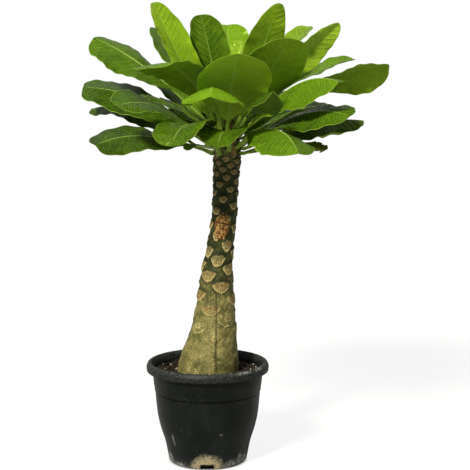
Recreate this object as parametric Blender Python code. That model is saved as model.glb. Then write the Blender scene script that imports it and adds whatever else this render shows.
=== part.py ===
"""Potted Hawaiian palm: a swollen leaf-scarred stem with a crown of spoon-shaped leaves, in a nursery pot.

Metres, +Z up. The origin is the centre of the pot's foot, on the surface that it stands on, and the
front of the plant, as photographed, faces -Y. The plant is a pot, its soil, one stem that grew as a
single piece, and 46 leaves, each a node of its own, named by its place on the spiral from the lowest.
"""

import math
from dataclasses import dataclass

import bmesh
import bpy
import numpy as np

# Clearance between pieces that touch
FIT = 0.0003

# Nursery pot: a thin tapering wall that turns over into a rolled lip
POT_SIDES = 36
POT_WALL = 0.0020
POT_FLOOR = 0.0025
POT_OUTSIDE = (
    (0.0490, 0.0),
    (0.0525, 0.0008),
    (0.0548, 0.0040),
    (0.0562, 0.0120),
    (0.0597, 0.0290),
    (0.0652, 0.0465),
    (0.0694, 0.0640),
    (0.0715, 0.0810),
    (0.0729, 0.0985),
    (0.0736, 0.1005),
    (0.0756, 0.1160),
    (0.0764, 0.1280),
)
LIP_RADIUS = 0.0850
LIP_TOP = 0.1400
LIP_FOOT = 0.1278
LIP_MOUTH = 0.0780
NOTCH_COUNT = 4
NOTCH_WIDTH = 0.018
NOTCH_HEIGHT = 0.007
NOTCH_DEPTH = 0.016

# Soil: fills the pot to just under its lip, with a plain hole for the stem
SOIL_TOP = 0.1272
SOIL_LUMP = 0.0012
SOIL_RINGS = (0.0500, 0.0580, 0.0660)

# Stem: a buried straight stub, then a bottle-shaped trunk that leans to the right
STUB_RADIUS = 0.0425
STUB_FOOT = 0.0900
STUB_ROUND = 0.0050
HOLE_GAP = 0.0003
STEM_SIDES = 30
STEM_HEIGHTS = (0.128, 0.148, 0.172, 0.198, 0.235, 0.268, 0.296, 0.337, 0.390, 0.428)
STEM_SHIFTS = (0.0, 0.0025, 0.0062, 0.0096, 0.0116, 0.0134, 0.0170, 0.0226, 0.0256, 0.0275)
STEM_RADII = (0.0425, 0.0397, 0.0340, 0.0290, 0.0245, 0.0207, 0.0180, 0.0169, 0.0168, 0.0185)
STEM_ROWS_LOW = 9
STEM_ROWS_SCARRED = 46
SCARRED_FROM = 0.185
SCARRED_TO = 0.424

# Growing head of the stem: half an ellipsoid that carries the leaves
HEAD_BASE = np.array([0.0275, 0.0, 0.428])
HEAD_RADIUS = 0.0185
HEAD_HEIGHT = 0.050
HEAD_ROWS = 8

# Spiral of leaf places and leaf scars: each is turned by the golden angle from the one before
GOLDEN_ANGLE = math.radians(137.5)
SCAR_ZERO_TURN = math.radians(31.0 - 90.0)
LEAF_ZERO_TURN = math.radians(26.0 - 90.0)
LEAF_PLACES = 46

# Scars of fallen leaves, numbered downward: number, height, width and height of the scar
SCAR_NUMBERS = (-55, -45, -29, -16, -8, 0, 5, 13, 18, 23, 28)
SCAR_HEIGHTS = (0.4280, 0.4172, 0.3978, 0.3684, 0.3410, 0.3048, 0.2847, 0.2484, 0.2170, 0.1920, 0.1660)
SCAR_WIDTHS = (0.0100, 0.0105, 0.0110, 0.0120, 0.0130, 0.0150, 0.0200, 0.0260, 0.0290, 0.0290, 0.0280)
SCAR_TALLS = (0.0080, 0.0085, 0.0090, 0.0105, 0.0135, 0.0180, 0.0185, 0.0175, 0.0175, 0.0165, 0.0150)
SCAR_RAISE = 0.0013

# Leaves: a thick blade on a short petiole
BLADE_THICK = 0.0009
BLADE_ROWS = 8
PETIOLE_HALF_WIDTH = 0.0032
HEEL = 0.004
REACH = 0.36
TIP_NOTCH_SPAN = 0.42
OUTLINE_FULLNESS = 1.09
ROW_SLANT = 0.55
FULL_WIDTH = 0.070


@dataclass(frozen=True)
class Leaf:
    """One leaf, from its place on the head to the tip of its midrib.

    The tip is in millimetres. Rise and end are the midrib's elevations at the petiole and at the tip,
    roll turns the blade about the midrib, and fold and curl bend its left and right halves, in
    degrees. Sway bows the midrib sideways, in millimetres, and petiole is the bare share of it. Belly
    moves the widest place towards the tip, notch is the depth of the tip's notch as a share of the
    blade, and point is how far the tip is narrowed.
    """

    place: int
    tip: tuple
    rise: float
    end: float
    width: float = 70.0
    roll: float = 0.0
    fold: tuple = (12.0, 12.0)
    curl: tuple = (0.0, 0.0)
    sway: float = 0.0
    wave: float = 2.5
    petiole: float = 0.15
    belly: float = 0.35
    notch: float = 0.035
    point: float = 0.0


LEAVES = (
    # Low leaves that spread and hang
    Leaf(0, (-172, 50, 483), 34, -24, 58, roll=20, fold=(0, -20), notch=0.06),
    Leaf(1, (165, 80, 443), 18, -25, 66),
    Leaf(2, (-41, -157, 445), 76, -68, 72, fold=(12, 0), petiole=0.36, belly=0.1),
    Leaf(3, (-8, 172, 450), 22, -30, 64),
    Leaf(4, (160, -68, 436), 0, -34, 46, roll=-15, fold=(-15, 0)),
    Leaf(5, (-153, -80, 440), 24, -28, roll=30, fold=(0, -15), notch=0.07),
    Leaf(6, (130, 140, 452), 30, -30),
    Leaf(7, (15, -147, 444), 46, -60, 58, sway=-4, petiole=0.32, belly=0.2),
    Leaf(8, (-96, 136, 470), 42, -24, 60),
    Leaf(9, (214, -40, 474), 27, -10, 76, roll=-22, fold=(-50, -5)),
    Leaf(10, (-26, -58, 436), 0, -30, 26, wave=1.0),
    Leaf(11, (35, 185, 470), 35, -25),
    Leaf(12, (118, -155, 436), 44, -58, 86, fold=(-22, -24), petiole=0.32, belly=0.2),
    # Middle leaves
    Leaf(13, (-180, 15, 516), 42, -8, 78, roll=38, fold=(5, -22), notch=0.06),
    Leaf(14, (145, 125, 466), 30, -25),
    Leaf(15, (7, -165, 508), 50, -50, 84, fold=(-12, -12), curl=(-34, -34), petiole=0.5),
    Leaf(16, (-55, 160, 484), 42, -20),
    Leaf(17, (190, -100, 482), 35, -20, roll=-15, fold=(-5, -20)),
    Leaf(18, (-115, -120, 496), 40, -18, 64, roll=12, fold=(-12, 12)),
    Leaf(19, (90, 165, 500), 45, -10),
    Leaf(20, (87, -150, 517), 42, 5, 56, fold=(-18, -18), curl=(-50, -50), petiole=0.4),
    Leaf(21, (-102, 130, 538), 48, 4, 64),
    Leaf(22, (206, 50, 482), 36, -15, 60),
    Leaf(23, (-74, -130, 543), 92, -30, 90, roll=-20, fold=(-18, 10), petiole=0.34, belly=0.2),
    Leaf(24, (0, 170, 515), 50, 0),
    Leaf(25, (174, -110, 525), 55, -25, 76, roll=-10, fold=(-15, -45)),
    Leaf(26, (-94, 20, 508), 42, 0, 40, roll=12, fold=(0, -20)),
    Leaf(27, (105, 130, 545), 50, 5, 62),
    Leaf(28, (42, -150, 566), 60, 30, 90, fold=(0, 0), curl=(-25, -25)),
    Leaf(29, (-42, 132, 562), 52, 15, 60),
    # High leaves that stand
    Leaf(30, (244, -40, 549), 45, 5, 64, roll=45, fold=(-20, -38), petiole=0.42, belly=0.6, notch=0.02),
    Leaf(31, (-71, -60, 634), 75, 62, 51, roll=-35, fold=(0, 36), belly=0.0),
    Leaf(32, (27, 120, 608), 72, 48, 62),
    Leaf(33, (112, -110, 586), 62, 45, 84, roll=12, fold=(0, -5), belly=0.25),
    Leaf(34, (-160, 35, 587), 48, 22, 80, roll=30, fold=(-2, -4), curl=(0, -38), petiole=0.36, belly=0.45),
    Leaf(35, (209, 55, 556), 50, 10, 46, roll=-8),
    Leaf(36, (-7, -60, 618), 82, 74, 58, fold=(5, 5), sway=-4, belly=0.2),
    Leaf(37, (-77, 100, 604), 60, 55, 68),
    Leaf(38, (98, -50, 628), 78, 58, 48, roll=38, fold=(0, 0), belly=0.15, notch=0.0, point=0.25),
    # Young leaves in the heart of the crown
    Leaf(39, (-12, -5, 575), 80, 70, 46),
    Leaf(40, (145, 88, 605), 61, 44, 57),
    Leaf(41, (44, -32, 564), 74, 66, 38),
    Leaf(42, (-66, 80, 602), 74, 50, 58),
    Leaf(43, (176, -28, 603), 47, 42, 43, roll=52, fold=(-10, -20), petiole=0.25, belly=0.5, notch=0.0, point=0.3),
    Leaf(44, (13, -13, 580), 86, 78, 30),
    Leaf(45, (50, 40, 584), 85, 65, 42),
)


def clear_scene():
    """Remove every object that the file holds."""
    for obj in list(bpy.data.objects):
        bpy.data.objects.remove(obj, do_unlink=True)


def make_material(name, colour, roughness, metallic=0.0):
    """A Principled material with the part's colour, roughness and metallic value."""
    material = bpy.data.materials.new(name)
    material.use_nodes = True
    shader = material.node_tree.nodes["Principled BSDF"]
    shader.inputs["Base Color"].default_value = (*colour, 1.0)
    shader.inputs["Roughness"].default_value = roughness
    shader.inputs["Metallic"].default_value = metallic
    return material


def add_object(name, points, faces, material, parent, location=(0.0, 0.0, 0.0), sharp=40.0):
    """A mesh object at its location, with its faces pointing out and its round sides smooth."""
    mesh = bpy.data.meshes.new(name)
    mesh.from_pydata([tuple(p) for p in points], [], [tuple(int(i) for i in f) for f in faces])
    shape = bmesh.new()
    shape.from_mesh(mesh)
    bmesh.ops.recalc_face_normals(shape, faces=shape.faces)
    shape.to_mesh(mesh)
    shape.free()
    mesh.shade_smooth()
    mesh.set_sharp_from_angle(angle=math.radians(sharp))
    mesh.materials.append(material)
    obj = bpy.data.objects.new(name, mesh)
    obj.location = location
    obj.parent = parent
    bpy.context.collection.objects.link(obj)
    return obj


def smooth(low, high, value):
    """Smooth step from 0 at low to 1 at high."""
    t = np.clip((np.asarray(value, dtype=float) - low) / (high - low), 0.0, 1.0)
    return t * t * (3.0 - 2.0 * t)


def unit(vector):
    """The vector at length one."""
    return vector / np.linalg.norm(vector)


def through(x, knots, values):
    """Smooth curve through the knots, with slopes taken from each knot's neighbours."""
    knots = np.asarray(knots, dtype=float)
    values = np.asarray(values, dtype=float)
    slopes = np.gradient(values, knots)
    x = np.clip(x, knots[0], knots[-1])
    k = np.clip(np.searchsorted(knots, x, side="right") - 1, 0, len(knots) - 2)
    step = knots[k + 1] - knots[k]
    t = (x - knots[k]) / step
    start = values[k] * (1 + 2 * t) * (1 - t) ** 2 + slopes[k] * step * t * (1 - t) ** 2
    finish = values[k + 1] * t * t * (3 - 2 * t) + slopes[k + 1] * step * t * t * (t - 1)
    return start + finish


def turned(profile, sides, height_rule=None):
    """Closed turned shape from (radius, height) points that start and end on the axis.

    The height rule, where one is given, moves a ring's points up or down by their place.
    """
    angles = np.arange(sides) * (2.0 * math.pi / sides)
    points = [(0.0, 0.0, profile[0][1])]
    faces = []
    for radius, height in profile[1:-1]:
        for angle in angles:
            x = radius * math.cos(angle)
            y = radius * math.sin(angle)
            lift = 0.0 if height_rule is None else height_rule(x, y, radius, height)
            points.append((x, y, height + lift))
    points.append((0.0, 0.0, profile[-1][1]))
    rings = len(profile) - 2
    last = len(points) - 1
    for j in range(sides):
        k = (j + 1) % sides
        faces.append((0, 1 + k, 1 + j))
        for ring in range(rings - 1):
            a = 1 + ring * sides
            b = a + sides
            faces.append((a + j, a + k, b + k, b + j))
        top = 1 + (rings - 1) * sides
        faces.append((top + j, top + k, last))
    return points, faces


def inside_radius(height):
    """Radius of the pot's inner face at a height."""
    radii = [r for r, _ in POT_OUTSIDE[2:]]
    heights = [z for _, z in POT_OUTSIDE[2:]]
    return float(np.interp(height, heights, radii)) - POT_WALL


def pot_profile():
    """The pot's section, from the middle of its foot, over the lip and down to its floor."""
    skirt = LIP_RADIUS - POT_WALL
    wall = POT_OUTSIDE[-1][0]
    under = LIP_TOP - POT_WALL
    lip = [
        (wall + 0.0006, under - 0.0018),
        (wall + 0.0022, under),
        (skirt - 0.0016, under),
        (skirt, under - 0.0018),
        (skirt, LIP_FOOT + 0.0006),
        (skirt + 0.0006, LIP_FOOT),
        (LIP_RADIUS - 0.0006, LIP_FOOT),
        (LIP_RADIUS, LIP_FOOT + 0.0008),
        (LIP_RADIUS, LIP_TOP - 0.0040),
        (LIP_RADIUS - 0.0009, LIP_TOP - 0.0014),
        (LIP_RADIUS - 0.0030, LIP_TOP),
        (LIP_MOUTH + 0.0016, LIP_TOP),
        (LIP_MOUTH, LIP_TOP - 0.0012),
        (inside_radius(0.128) + 0.0012, LIP_TOP - 0.0050),
    ]
    heights = [z for _, z in POT_OUTSIDE[2:]][::-1]
    inner = [(inside_radius(z), z) for z in heights[:-1]]
    floor = [(POT_OUTSIDE[0][0], POT_FLOOR)]
    return [(0.0, 0.0), *POT_OUTSIDE, *lip, *inner, *floor, (0.0, POT_FLOOR)]


def build_pot(root, material):
    """The pot, with its drain notches cut through the foot of the wall."""
    points, faces = turned(pot_profile(), POT_SIDES)
    pot = add_object("pot", points, faces, material, root)
    for number in range(NOTCH_COUNT):
        turn = -math.pi / 2 + number * 2 * math.pi / NOTCH_COUNT
        reach = POT_OUTSIDE[2][0] + 0.004 - NOTCH_DEPTH / 2
        centre = (reach * math.cos(turn), reach * math.sin(turn), NOTCH_HEIGHT / 2 - 0.001)
        cutter = add_cutter(f"drain_cutter_{number}", root, centre, turn)
        cut = pot.modifiers.new(f"drain_{number}", "BOOLEAN")
        cut.operation = "DIFFERENCE"
        cut.solver = "EXACT"
        cut.object = cutter
    return pot


def add_cutter(name, root, centre, turn):
    """A hidden box that cuts one drain notch."""
    half = (NOTCH_DEPTH / 2, NOTCH_WIDTH / 2, NOTCH_HEIGHT / 2 + 0.001)
    points = [(x * half[0], y * half[1], z * half[2]) for x in (-1, 1) for y in (-1, 1) for z in (-1, 1)]
    faces = [(0, 1, 3, 2), (4, 6, 7, 5), (0, 4, 5, 1), (2, 3, 7, 6), (0, 2, 6, 4), (1, 5, 7, 3)]
    cutter = add_object(name, points, faces, make_material(name, (0.5, 0.5, 0.5), 0.5), root, centre)
    cutter.rotation_euler = (0.0, 0.0, turn)
    cutter.hide_render = True
    cutter.display_type = "WIRE"
    return cutter


def soil_lift(x, y, radius, height):
    """Lumps in the soil's top, which fade out at the stem's hole and at the pot's wall."""
    if height < SOIL_TOP - 0.0001:
        return 0.0
    fade = float(smooth(STUB_RADIUS, SOIL_RINGS[0], radius) * (1 - smooth(SOIL_RINGS[-1], 0.0740, radius)))
    waves = math.sin(x * 190 + 1.0) * math.cos(y * 170 + 0.4) + 0.6 * math.sin((x + y) * 310 + 2.1)
    return SOIL_LUMP * fade * waves


def build_soil(root, material):
    """The soil, turned with the stem's hole in it, a hair inside the pot's wall and floor."""
    hole = STUB_RADIUS + HOLE_GAP
    wall = [(inside_radius(z) - FIT, z) for _, z in POT_OUTSIDE[3:-1]]
    foot = [(POT_OUTSIDE[0][0] - FIT, POT_FLOOR + FIT)]
    rim = [(inside_radius(SOIL_TOP) - FIT, SOIL_TOP)]
    top = [(radius, SOIL_TOP) for radius in reversed(SOIL_RINGS)]
    bore = [(hole, SOIL_TOP), (hole, STUB_FOOT - HOLE_GAP)]
    profile = [(0.0, POT_FLOOR + FIT), *foot, *wall, *rim, *top, *bore, (0.0, STUB_FOOT - HOLE_GAP)]
    points, faces = turned(profile, POT_SIDES, soil_lift)
    return add_object("soil", points, faces, material, root)


def stem_centre(height):
    """Sideways shift of the stem's middle at a height."""
    return through(height, STEM_HEIGHTS, STEM_SHIFTS)


def stem_radius(height):
    """Radius of the stem at a height, straight below the soil's top."""
    return np.where(height <= STEM_HEIGHTS[0], STUB_RADIUS, through(height, STEM_HEIGHTS, STEM_RADII))


def scar_relief(angle, height):
    """How far the scars of fallen leaves stand out at places on the stem, given as arrays."""
    numbers = np.arange(SCAR_NUMBERS[0], SCAR_NUMBERS[-1] + 1)
    heights = through(numbers, SCAR_NUMBERS, SCAR_HEIGHTS)
    widths = through(numbers, SCAR_NUMBERS, SCAR_WIDTHS)
    talls = through(numbers, SCAR_NUMBERS, SCAR_TALLS)
    turns = SCAR_ZERO_TURN + numbers * GOLDEN_ANGLE
    radius = stem_radius(height)
    relief = np.zeros_like(angle)
    for turn, middle, width, tall in zip(turns, heights, widths, talls):
        across = (np.mod(angle - turn + math.pi, 2 * math.pi) - math.pi) * radius / (width / 2)
        along = (height - middle) / (tall / 2)
        away = np.sqrt(across ** 2 + along ** 2)
        relief = np.maximum(relief, 1.0 - smooth(0.7, 1.25, away))
    fade = smooth(0.150, 0.200, height) * (1 - smooth(SCARRED_TO - 0.008, SCARRED_TO, height))
    return relief * SCAR_RAISE * fade


def build_stem(root, material):
    """The stem: rings from the buried foot, up the scarred trunk and over the growing head."""
    bevel = [(STUB_FOOT, 0.0065), (STUB_FOOT + 0.0015, 0.0020), (STUB_FOOT + STUB_ROUND, 0.0)]
    low = np.linspace(STEM_HEIGHTS[0], SCARRED_FROM, STEM_ROWS_LOW)[:-1]
    high = np.linspace(SCARRED_FROM, HEAD_BASE[2], STEM_ROWS_SCARRED)
    heights = np.concatenate([[z for z, _ in bevel], low, high])
    inset = np.concatenate([[d for _, d in bevel], np.zeros(len(low) + len(high))])
    angles = np.arange(STEM_SIDES) * (2 * math.pi / STEM_SIDES)
    angle, height = np.meshgrid(angles, heights)
    radius = stem_radius(height) - inset[:, None] + scar_relief(angle, height)
    shift = stem_centre(height)
    trunk = np.stack([shift + radius * np.cos(angle), radius * np.sin(angle), height], axis=-1)
    lifts = np.linspace(0.0, math.pi / 2, HEAD_ROWS + 1)[1:-1]
    angle, lift = np.meshgrid(angles, lifts)
    ring = HEAD_RADIUS * np.cos(lift)
    head = np.stack([ring * np.cos(angle), ring * np.sin(angle), HEAD_HEIGHT * np.sin(lift)], axis=-1)
    rows = np.concatenate([trunk, head + HEAD_BASE])
    top = HEAD_BASE + np.array([0.0, 0.0, HEAD_HEIGHT])
    points = np.concatenate([[(0.0, 0.0, STUB_FOOT)], rows.reshape(-1, 3), [top]])
    faces = []
    last = len(points) - 1
    for j in range(STEM_SIDES):
        k = (j + 1) % STEM_SIDES
        faces.append((0, 1 + k, 1 + j))
        for row in range(len(rows) - 1):
            a = 1 + row * STEM_SIDES
            b = a + STEM_SIDES
            faces.append((a + j, a + k, b + k))
            faces.append((a + j, b + k, b + j))
        faces.append((last - STEM_SIDES + j, last - STEM_SIDES + k, last))
    return add_object("stem", points, faces, material, root)


def leaf_place(number):
    """Point on the head where a leaf grows, and the head's outward direction there."""
    share = (number + 0.5) / LEAF_PLACES
    lift = share ** 1.15 * 0.97
    ring = math.sqrt(1 - lift * lift)
    angle = LEAF_ZERO_TURN - (number + 1) * GOLDEN_ANGLE
    circle = np.array([math.cos(angle), math.sin(angle), 0.0])
    upward = np.array([0.0, 0.0, 1.0])
    point = HEAD_BASE + circle * HEAD_RADIUS * ring + upward * HEAD_HEIGHT * lift
    return point, unit(circle * ring / HEAD_RADIUS + upward * lift / HEAD_HEIGHT)


def midrib(leaf):
    """The leaf's midrib: points, their shares of its length, its length and its level side direction."""
    point, outward = leaf_place(leaf.place)
    heel = point + outward * HEEL
    tip = np.array(leaf.tip) / 1000.0
    span = np.linalg.norm(tip - heel)
    level = unit((tip - heel) * np.array([1.0, 1.0, 0.0]))
    side = np.array([level[1], -level[0], 0.0])
    upward = np.array([0.0, 0.0, 1.0])
    rise = math.radians(leaf.rise)
    end = math.radians(leaf.end)
    start_way = level * math.cos(rise) + upward * math.sin(rise)
    start_way = unit(start_way * 0.7 + outward * 0.3)
    end_way = level * math.cos(end) + upward * math.sin(end)
    handles = [heel, heel + start_way * span * REACH, tip - end_way * span * REACH, tip]
    t = np.linspace(0.0, 1.0, 400)[:, None]
    line = (1 - t) ** 3 * handles[0] + 3 * (1 - t) ** 2 * t * handles[1]
    line = line + 3 * (1 - t) * t * t * handles[2] + t ** 3 * handles[3]
    line = line + side * (leaf.sway / 1000.0) * np.sin(math.pi * t)
    steps = np.linalg.norm(np.diff(line, axis=0), axis=1)
    run = np.concatenate([[0.0], np.cumsum(steps)])
    return line, run / run[-1], run[-1], side


def leaf_rows(leaf, length):
    """Rows of the blade: share of the midrib at the middle and at the margin, and half width."""
    sweep = np.linspace(0.0, math.pi, BLADE_ROWS + 1)
    sweep = sweep - 0.09 * np.sin(2 * sweep)
    along = 0.5 * (1 - np.cos(sweep))
    widest = (leaf.belly + 0.5) / (leaf.belly + 1.0)
    largest = 2 * widest ** (leaf.belly + 0.5) * math.sqrt(1 - widest)
    across = np.sin(sweep) * np.maximum(along, 0.0) ** leaf.belly * OUTLINE_FULLNESS / largest
    across = across * (1 - leaf.point * smooth(0.55, 1.0, along))
    along = along - leaf.notch * np.exp(-(((math.pi - sweep) / TIP_NOTCH_SPAN) ** 2))
    half = leaf.width / 2000.0
    bare = leaf.petiole
    middle = np.maximum.accumulate(along - ROW_SLANT * across * half / (length * (1 - bare)))
    at_middle = np.concatenate([[0.0], bare + (1 - bare) * middle])
    at_margin = np.concatenate([[0.0], bare + (1 - bare) * along])
    stalk = PETIOLE_HALF_WIDTH * (1 - 0.3 * smooth(0.0, bare, at_middle))
    stalk = stalk * (1 - smooth(bare + 0.3, 1.0, at_middle))
    width = np.maximum(np.concatenate([[0.0], across * half]), stalk)
    width[-1] = 0.0
    return at_middle, at_margin, width


def leaf_sheet(leaf):
    """Middle surface of a leaf as rows of five points, with the frame's upward direction at each.

    Each row runs from the midrib to both margins. Its halves are arcs that start at the fold's angle
    and gain the curl's angle on the way out, and the margins wave by a seeded sine.
    """
    line, run, length, side = midrib(leaf)
    at_middle, at_margin, width = leaf_rows(leaf, length)
    cross = np.linspace(-1.0, 1.0, 5)
    out = np.abs(cross)[None, :]
    share = at_middle[:, None] + (at_margin - at_middle)[:, None] * out

    def at(place):
        return np.stack([np.interp(place, run, line[:, k]) for k in range(3)], axis=-1)

    spot = share.ravel()
    forward = at(np.minimum(spot + 0.006, 1.0)) - at(np.maximum(spot - 0.006, 0.0))
    forward = forward / np.linalg.norm(forward, axis=1)[:, None]
    sideways = side - forward * (forward @ side)[:, None]
    sideways = sideways / np.linalg.norm(sideways, axis=1)[:, None]
    upward = np.cross(sideways, forward)
    roll = np.radians(leaf.roll) * smooth(0.03, 0.5, spot)[:, None]
    rolled = sideways * np.cos(roll) + upward * np.sin(roll)
    raised = upward * np.cos(roll) - sideways * np.sin(roll)

    tau = np.clip((share - leaf.petiole) / (1 - leaf.petiole), 0.0, 1.0)
    blend = smooth(0.0, 0.3, tau)
    left = cross[None, :] < 0
    fold = np.radians(np.where(left, leaf.fold[0], leaf.fold[1])) * blend
    curl = np.radians(np.where(left, leaf.curl[0], leaf.curl[1])) * blend
    curl = np.where(np.abs(curl) < 1e-3, 1e-3, curl)
    reach = (np.sin(fold + curl * out) - np.sin(fold)) / curl * np.sign(cross)[None, :] * width[:, None]
    height = (np.cos(fold) - np.cos(fold + curl * out)) / curl * width[:, None]
    draw = np.random.default_rng(leaf.place * 7)
    phase = draw.uniform(0.0, 2 * math.pi, 4)
    cycles = draw.uniform(1.6, 2.6, 2)
    wave_left = np.sin(2 * math.pi * cycles[0] * tau + phase[0])
    wave_right = np.sin(2 * math.pi * cycles[1] * tau + phase[1])
    fullness = np.clip(width / (leaf.width / 2000.0), 0.0, 1.0)[:, None]
    height = height + np.where(left, wave_left, wave_right) * leaf.wave / 1000.0 * out ** 2 * fullness
    shape = (*share.shape, 3)
    sheet = at(spot).reshape(shape) + rolled.reshape(shape) * reach[..., None]
    sheet = sheet + raised.reshape(shape) * height[..., None]
    return sheet, raised.reshape(shape), at_middle, cross, side


def sheet_normals(sheet, fallback):
    """Directions square to the sheet, on its upper side."""
    along = np.gradient(sheet, axis=0)
    along[-1] = sheet[-1] - sheet[-3]
    normals = np.cross(np.gradient(sheet, axis=1), along)
    size = np.linalg.norm(normals, axis=-1, keepdims=True)
    normals = np.where(size > 1e-12, normals / np.maximum(size, 1e-12), fallback)
    normals[-1] = normals[-2, 2]
    return normals


def leaf_skins(leaf):
    """Upper and lower skins of a leaf, from its foot on the head to its tip."""
    sheet, fallback, at_middle, cross, side = leaf_sheet(leaf)
    normals = sheet_normals(sheet, fallback)
    size = min(1.0, leaf.width / (FULL_WIDTH * 1000.0))
    out = np.abs(cross)
    bare = (1 - smooth(leaf.petiole * 0.6, leaf.petiole + 0.16, at_middle))[:, None]
    rib = 0.0026 * size * (1 - smooth(0.0, 0.55, at_middle)) + 0.0006 * (1 - at_middle)
    ridge = np.clip(1 - out / 0.5, 0.0, 1.0)[None, :]
    tube = np.sqrt(np.clip(1 - out ** 2, 0.0, 1.0))[None, :]
    above = BLADE_THICK / 2 + bare * 0.0007 * size * (1 - out ** 2)[None, :]
    below = BLADE_THICK / 2 + rib[:, None] * (ridge * (1 - bare) + tube * bare)
    upper = sheet + normals * above[..., None]
    lower = sheet - normals * below[..., None]

    point, outward = leaf_place(leaf.place)
    steep = unit(np.cross(outward, side))
    if steep[2] < 0:
        steep = -steep
    level = unit(np.cross(steep, outward))
    if level @ side < 0:
        level = -level
    foot = point + outward * FIT + level * (cross * PETIOLE_HALF_WIDTH * size)[:, None]
    thick_up = 0.0005 + 0.0009 * size * (1 - cross ** 2)
    thick_down = 0.0005 + 0.0024 * size * np.sqrt(1 - cross ** 2)
    upper = np.concatenate([(foot + steep * thick_up[:, None])[None], upper])
    lower = np.concatenate([(foot - steep * thick_down[:, None])[None], lower])
    return upper, lower, point


def skins_to_solid(upper, lower):
    """Points and triangles of the closed leaf, split alike on both skins, with the tip's points joined."""
    rows, columns, _ = upper.shape
    points = np.concatenate([upper.reshape(-1, 3), lower.reshape(-1, 3)])
    under = rows * columns
    faces = []
    for row in range(rows - 1):
        for column in range(columns - 1):
            a = row * columns + column
            b = a + 1
            c = a + columns
            d = c + 1
            if column < columns // 2:
                pair = [(a, b, d), (a, d, c)]
            else:
                pair = [(a, b, c), (b, d, c)]
            for x, y, z in pair:
                faces.append((x, y, z))
                faces.append((under + x, under + z, under + y))
        a = row * columns
        c = a + columns
        faces.append((a, c, under + c))
        faces.append((a, under + c, under + a))
        a = a + columns - 1
        c = a + columns
        faces.append((a, under + c, c))
        faces.append((a, under + a, under + c))
    for column in range(columns - 1):
        a = column
        faces.append((a, under + a + 1, a + 1))
        faces.append((a, under + a, under + a + 1))
    tip = (rows - 1) * columns
    joined = np.arange(len(points))
    joined[tip:tip + columns] = tip
    joined[under + tip:under + tip + columns] = under + tip
    faces = joined[np.array(faces)]
    whole = (faces[:, 0] != faces[:, 1]) & (faces[:, 1] != faces[:, 2]) & (faces[:, 0] != faces[:, 2])
    faces = faces[whole]
    used, renumbered = np.unique(faces, return_inverse=True)
    return points[used], renumbered.reshape(faces.shape)


def build_leaf(leaf, root, material):
    """One leaf, with its origin at its foot on the stem's head."""
    upper, lower, point = leaf_skins(leaf)
    points, faces = skins_to_solid(upper, lower)
    name = f"leaf_{leaf.place + 1:02d}"
    return add_object(name, points - point, faces, material, root, location=tuple(point), sharp=60.0)


def main():
    """Build the pot, the soil, the stem and the leaves under one empty."""
    clear_scene()
    root = bpy.data.objects.new("potted_hawaiian_palm", None)
    bpy.context.collection.objects.link(root)
    build_pot(root, make_material("pot", (0.020, 0.024, 0.022), 0.42))
    build_soil(root, make_material("soil", (0.050, 0.030, 0.018), 0.95))
    build_stem(root, make_material("stem", (0.105, 0.090, 0.035), 0.80))
    old = make_material("leaf_old", (0.075, 0.170, 0.020), 0.45)
    full = make_material("leaf_full", (0.105, 0.260, 0.022), 0.40)
    young = make_material("leaf_young", (0.200, 0.380, 0.050), 0.38)
    for leaf in LEAVES:
        shade = old if leaf.place < 10 else young if leaf.place > 38 else full
        build_leaf(leaf, root, shade)


main()
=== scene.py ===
"""Looks of a potted Hawaiian palm: a scarred bottle stem with a crown of fleshy leaves, in a nursery pot.

Metres, +Z up, with the photographed front facing -Y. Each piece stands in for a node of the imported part,
on a finer grid of the same formulas, and its finish is painted by named values at its points.
"""

import logging
import math
from dataclasses import dataclass, field
from enum import Enum
from itertools import product

import bpy
import numpy as np
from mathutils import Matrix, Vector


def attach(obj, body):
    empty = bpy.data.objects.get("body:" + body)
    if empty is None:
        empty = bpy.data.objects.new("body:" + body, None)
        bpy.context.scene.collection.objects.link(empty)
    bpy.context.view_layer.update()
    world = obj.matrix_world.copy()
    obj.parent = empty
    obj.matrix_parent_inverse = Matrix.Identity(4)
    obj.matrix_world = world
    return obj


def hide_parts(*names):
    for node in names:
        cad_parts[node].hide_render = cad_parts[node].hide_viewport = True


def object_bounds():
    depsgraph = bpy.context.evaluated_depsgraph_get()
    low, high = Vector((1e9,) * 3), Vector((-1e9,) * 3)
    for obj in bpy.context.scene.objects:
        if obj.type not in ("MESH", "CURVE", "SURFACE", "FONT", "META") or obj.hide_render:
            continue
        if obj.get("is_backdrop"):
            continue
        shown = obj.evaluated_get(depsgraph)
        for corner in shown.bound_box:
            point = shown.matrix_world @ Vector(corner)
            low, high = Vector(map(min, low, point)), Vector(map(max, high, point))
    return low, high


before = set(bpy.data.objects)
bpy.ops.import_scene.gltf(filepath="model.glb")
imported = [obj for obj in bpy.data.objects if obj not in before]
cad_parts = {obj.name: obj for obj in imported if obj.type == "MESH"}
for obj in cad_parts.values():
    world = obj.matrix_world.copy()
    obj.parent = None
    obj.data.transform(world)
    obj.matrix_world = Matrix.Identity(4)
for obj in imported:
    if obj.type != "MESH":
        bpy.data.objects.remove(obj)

Array = np.ndarray
Colour = tuple[float, float, float]
LOG = logging.getLogger("potted_hawaiian_palm")
FULL_TURN = 2 * math.pi
GOLDEN_ANGLE = math.radians(137.5)
FRONT = -math.pi / 2
UPWARD = np.array([0.0, 0.0, 1.0])
MILLIMETRE = 0.001


class Slot(Enum):
    """The record's material slots."""

    LEAF_OLD = "leaf_old"
    LEAF_FULL = "leaf_full"
    LEAF_YOUNG = "leaf_young"
    STEM = "stem"
    SOIL = "soil"
    POT = "pot"


# Formulas


def smooth(low: float, high: float, value: Array | float) -> Array:
    """Smooth step: 0 below low, 1 above high, and 3t^2 - 2t^3 between them."""
    t = np.clip((np.asarray(value, dtype=float) - low) / (high - low), 0.0, 1.0)
    return t * t * (3.0 - 2.0 * t)


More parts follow.
